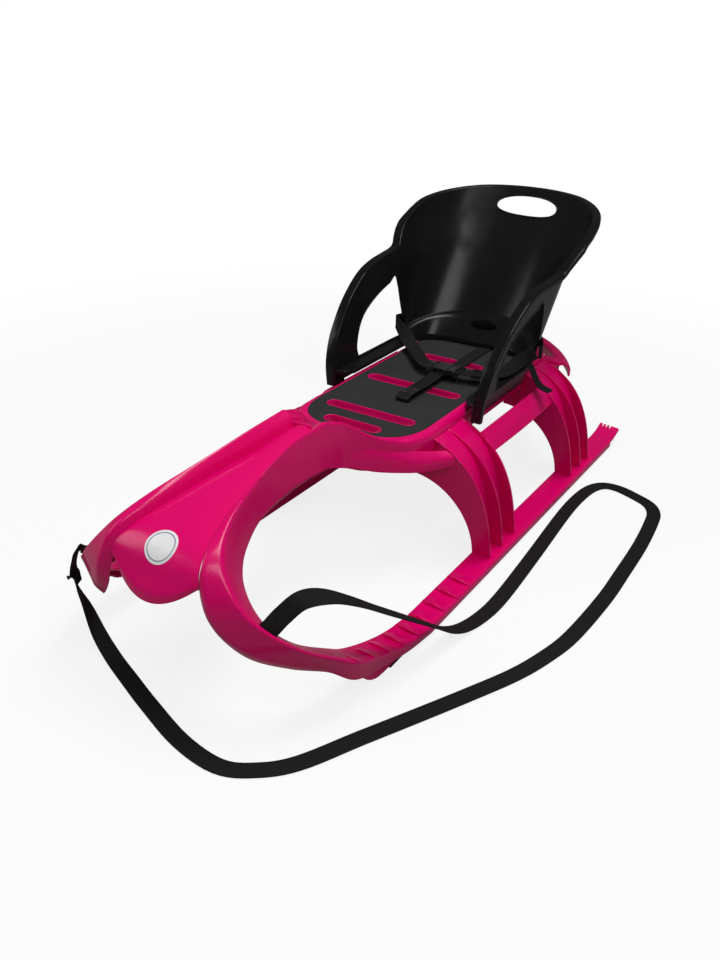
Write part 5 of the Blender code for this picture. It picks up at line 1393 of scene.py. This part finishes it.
def bar_fold(bar_x):
    """The end of a lap strap folded round a buckle's bar, as a sleeve along Y."""
    centre = Vector((bar_x, BUCKLE_Y, BUCKLE_MIDDLE))
    half = Vector((0, WEBBING / 2, 0))
    grow = max(BAR_LENGTH, BAR_THICK) * 0.62 + GAP
    sections = []
    for step in range(24):
        angle = 2 * math.pi * step / 24
        way = Vector((math.cos(angle), 0, math.sin(angle)))
        inner, outer = centre + way * grow, centre + way * (grow + LAP_THICK)
        loop = [inner - half, outer - half, outer + half, inner + half]
        sections.append(rounded(loop, [0.0005] * 4, 2))
    return skin("fold", sections, webbing, ring=True)


def front_lap_straps():
    """The lap strap's two front lengths, each folded round a buckle's bar, to the windows' edges."""
    reach = BAR_LENGTH / 2 + GAP + LAP_THICK / 2
    socket_bar = BUCKLE_X - SOCKET_LENGTH / 2 + BAR_INSET
    tongue_bar = BUCKLE_X + SOCKET_LENGTH / 2 + TONGUE_LENGTH - BAR_INSET
    turn = math.radians(SLIDE_TURN)
    way, slider = Vector((math.cos(turn), math.sin(turn), 0)), Vector((*SLIDER_SPOT, BUCKLE_MIDDLE))
    left = [(socket_bar - reach, BUCKLE_Y, BUCKLE_MIDDLE), *LAP_LEFT]
    right = [(tongue_bar + reach, BUCKLE_Y, BUCKLE_MIDDLE)]
    right += [tuple(slider + way * run) for run in SLIDE_RUNS] + [*LAP_RIGHT]
    right_sides = [FLAT] + [(-way.y, way.x, 0)] * len(SLIDE_RUNS) + [*LAP_RIGHT_SIDES]
    for side, route, sides, bar in (("left", left, LAP_LEFT_SIDES, socket_bar),
                                    ("right", right, right_sides, tongue_bar)):
        lap = joined("lap_webbing_" + side, [strap("lap", route, sides), bar_fold(bar)])
        finish_piece(lap, "lap_strap_" + side)


def rear_lap_strap():
    """The length round behind the backrest, in at one window's edge and out at the other."""
    route = list(LAP_WINDOW)
    for step in range(1, 2 * LAP_REAR_MARKS):
        share = step / LAP_REAR_MARKS
        spot, facing = seat_plan(min(share, 2 - share) * 0.86 + 0.14, BELT_HEIGHT)
        spot += facing * (SHELL + LAP_BEHIND)
        route.append((spot.x if share <= 1 else -spot.x, spot.y + 0.004, spot.z))
    route += [(-x, y, z) for x, y, z in LAP_WINDOW[::-1]]
    rear = strap("lap_webbing_rear", route, [(0, 0, 1)] * len(route))
    finish_piece(rear, "lap_strap_rear")


def crotch_strap():
    """The strap from under the ledge, folded back on itself at the front and sewn there."""
    rest = PAD_TOP + GAP + LAP_THICK / 2
    route = [(BUCKLE_X, y, rest + rise) for y, rise in CROTCH]
    finish_piece(strap("crotch_webbing", route, [(1, 0, 0)] * len(route)), "crotch_strap")
    thread = webbing_finish("thread", (0.110, 0.110, 0.112), (0.060, 0.060, 0.060))
    sewn = rest + SEWN_RISE + LAP_THICK / 2 + 0.0001
    stitches("crotch_stitches", sewn_box(BUCKLE_X, sewn, WEBBING / 2 - 0.0035), thread)


def harness():
    """All straps of the seat."""
    front_lap_straps()
    rear_lap_strap()
    tail = strap("lap_webbing_tail", LAP_TAIL, [FLAT] * len(LAP_TAIL), WEBBING * 0.8)
    finish_piece(tail, "lap_strap_tail_left")
    crotch_strap()


def dress(node, finish):
    """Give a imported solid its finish."""
    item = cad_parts[node]
    for slot in item.material_slots:
        slot.material = finish
    if not item.material_slots:
        item.data.materials.append(finish)


def camera():
    """The photograph's view: turned, tilted down and rolled a little."""
    yaw, pitch, roll = (math.radians(angle) for angle in (CAMERA_YAW, CAMERA_PITCH, CAMERA_ROLL))
    look = Vector((-math.sin(yaw) * math.cos(pitch), math.cos(yaw) * math.cos(pitch), -math.sin(pitch)))
    level = Vector((math.cos(yaw), math.sin(yaw), 0))
    rise = level.cross(look)
    right = level * math.cos(roll) + rise * math.sin(roll)
    up = -level * math.sin(roll) + rise * math.cos(roll)
    view = linked("camera", bpy.data.cameras.new("camera"))
    view.data.sensor_fit = "AUTO"
    view.data.sensor_width = SENSOR
    view.data.lens = LENS
    columns = (right, up, -look, Vector(CAMERA_PLACE))
    rows = [[column[row] for column in columns] for row in range(3)]
    view.matrix_world = Matrix(rows + [[0, 0, 0, 1]])
    bpy.context.scene.camera = view


def softbox(name, place, aim, size, power):
    """A large rectangular lamp."""
    data = bpy.data.lights.new(name, "AREA")
    data.shape = "RECTANGLE"
    data.size, data.size_y = size
    data.energy = power
    lamp = linked(name, data)
    lamp.location = place
    lamp.rotation_euler = (Vector(aim) - Vector(place)).to_track_quat("-Z", "Y").to_euler()


def sky():
    """Light from all round: white to the camera, dim to the sled and dimmer still in its gloss."""
    world = bpy.data.worlds.new("studio")
    world.use_nodes = True
    tree = world.node_tree
    sockets = tree.nodes["Background"].inputs
    plug(tree, sockets["Color"], (1.0, 1.0, 1.0))
    seen, mirrored_ray = (rays(tree, f"Is {kind} Ray") for kind in ("Camera", "Glossy"))
    plug(tree, sockets["Strength"], seen * (1.0 - SKY) + mirrored_ray * (SKY_MIRRORED - SKY) + SKY)
    bpy.context.scene.world = world


def paper_sweep():
    """The floor: grey to all rays but the camera's, to which it glows, so that it stays white."""
    outline = oblong(-PAPER_REACH, -PAPER_REACH, PAPER_REACH, PAPER_REACH)
    floor = prism("floor", outline, "z", PAPER_FOOT, PAPER_TOP)
    paper = Finish("white paper", PAPER_TONES[0], 0.8)
    tree = paper.tree
    seen = rays(tree, "Is Camera Ray")
    tone = paper.mix(paper.noise(30.0, 4.0), *PAPER_TONES)
    paper.set(Base_Color=paper.mix(seen, PAPER_UNSEEN, tone))
    far = paper.fade(paper.away_from((0, 0, 0)), *PAPER_FADE)
    glow = tree.nodes.new("ShaderNodeEmission")
    both = tree.nodes.new("ShaderNodeMixShader")
    plug(tree, both.inputs[0], seen.math("MULTIPLY", far * PAPER_GLOW_MORE + PAPER_GLOW, clamped=True))
    for source, target in ((paper.shader, both.inputs[1]), (glow, both.inputs[2]),
                           (both, tree.nodes["Material Output"].inputs["Surface"])):
        tree.links.new(source.outputs[0], target)
    floor.data.materials.append(paper.material)


def studio():
    """White paper sweep under large soft lamps."""
    bpy.context.scene.view_settings.view_transform = "Standard"
    sky()
    for name, place, aim, size, power in SOFTBOXES:
        softbox(name, place, aim, size, power)
    paper_sweep()


camera()
studio()
pull_strap()
left = side_frame()
right = mirrored(left, "horn_and_runner_right")
finish_piece(left, "side_frame_left")
finish_piece(right, "side_frame_right")
moulding = finish_piece(deck(), "moulded_deck")
label(moulding)
pad()
seat()
harness()
for node in ("buckle_socket", "buckle_tongue", "buckle_prong_front", "buckle_prong_rear",
             "strap_slider", "strap_stop_left", "strap_stop_right"):
    dress(node, satin)
for node in ("runner_rail_left", "runner_rail_right", "rail_screw_left_front", "rail_screw_left_rear",
             "rail_screw_right_front", "rail_screw_right_rear", "seat_screw", "seat_nut"):
    dress(node, steel)
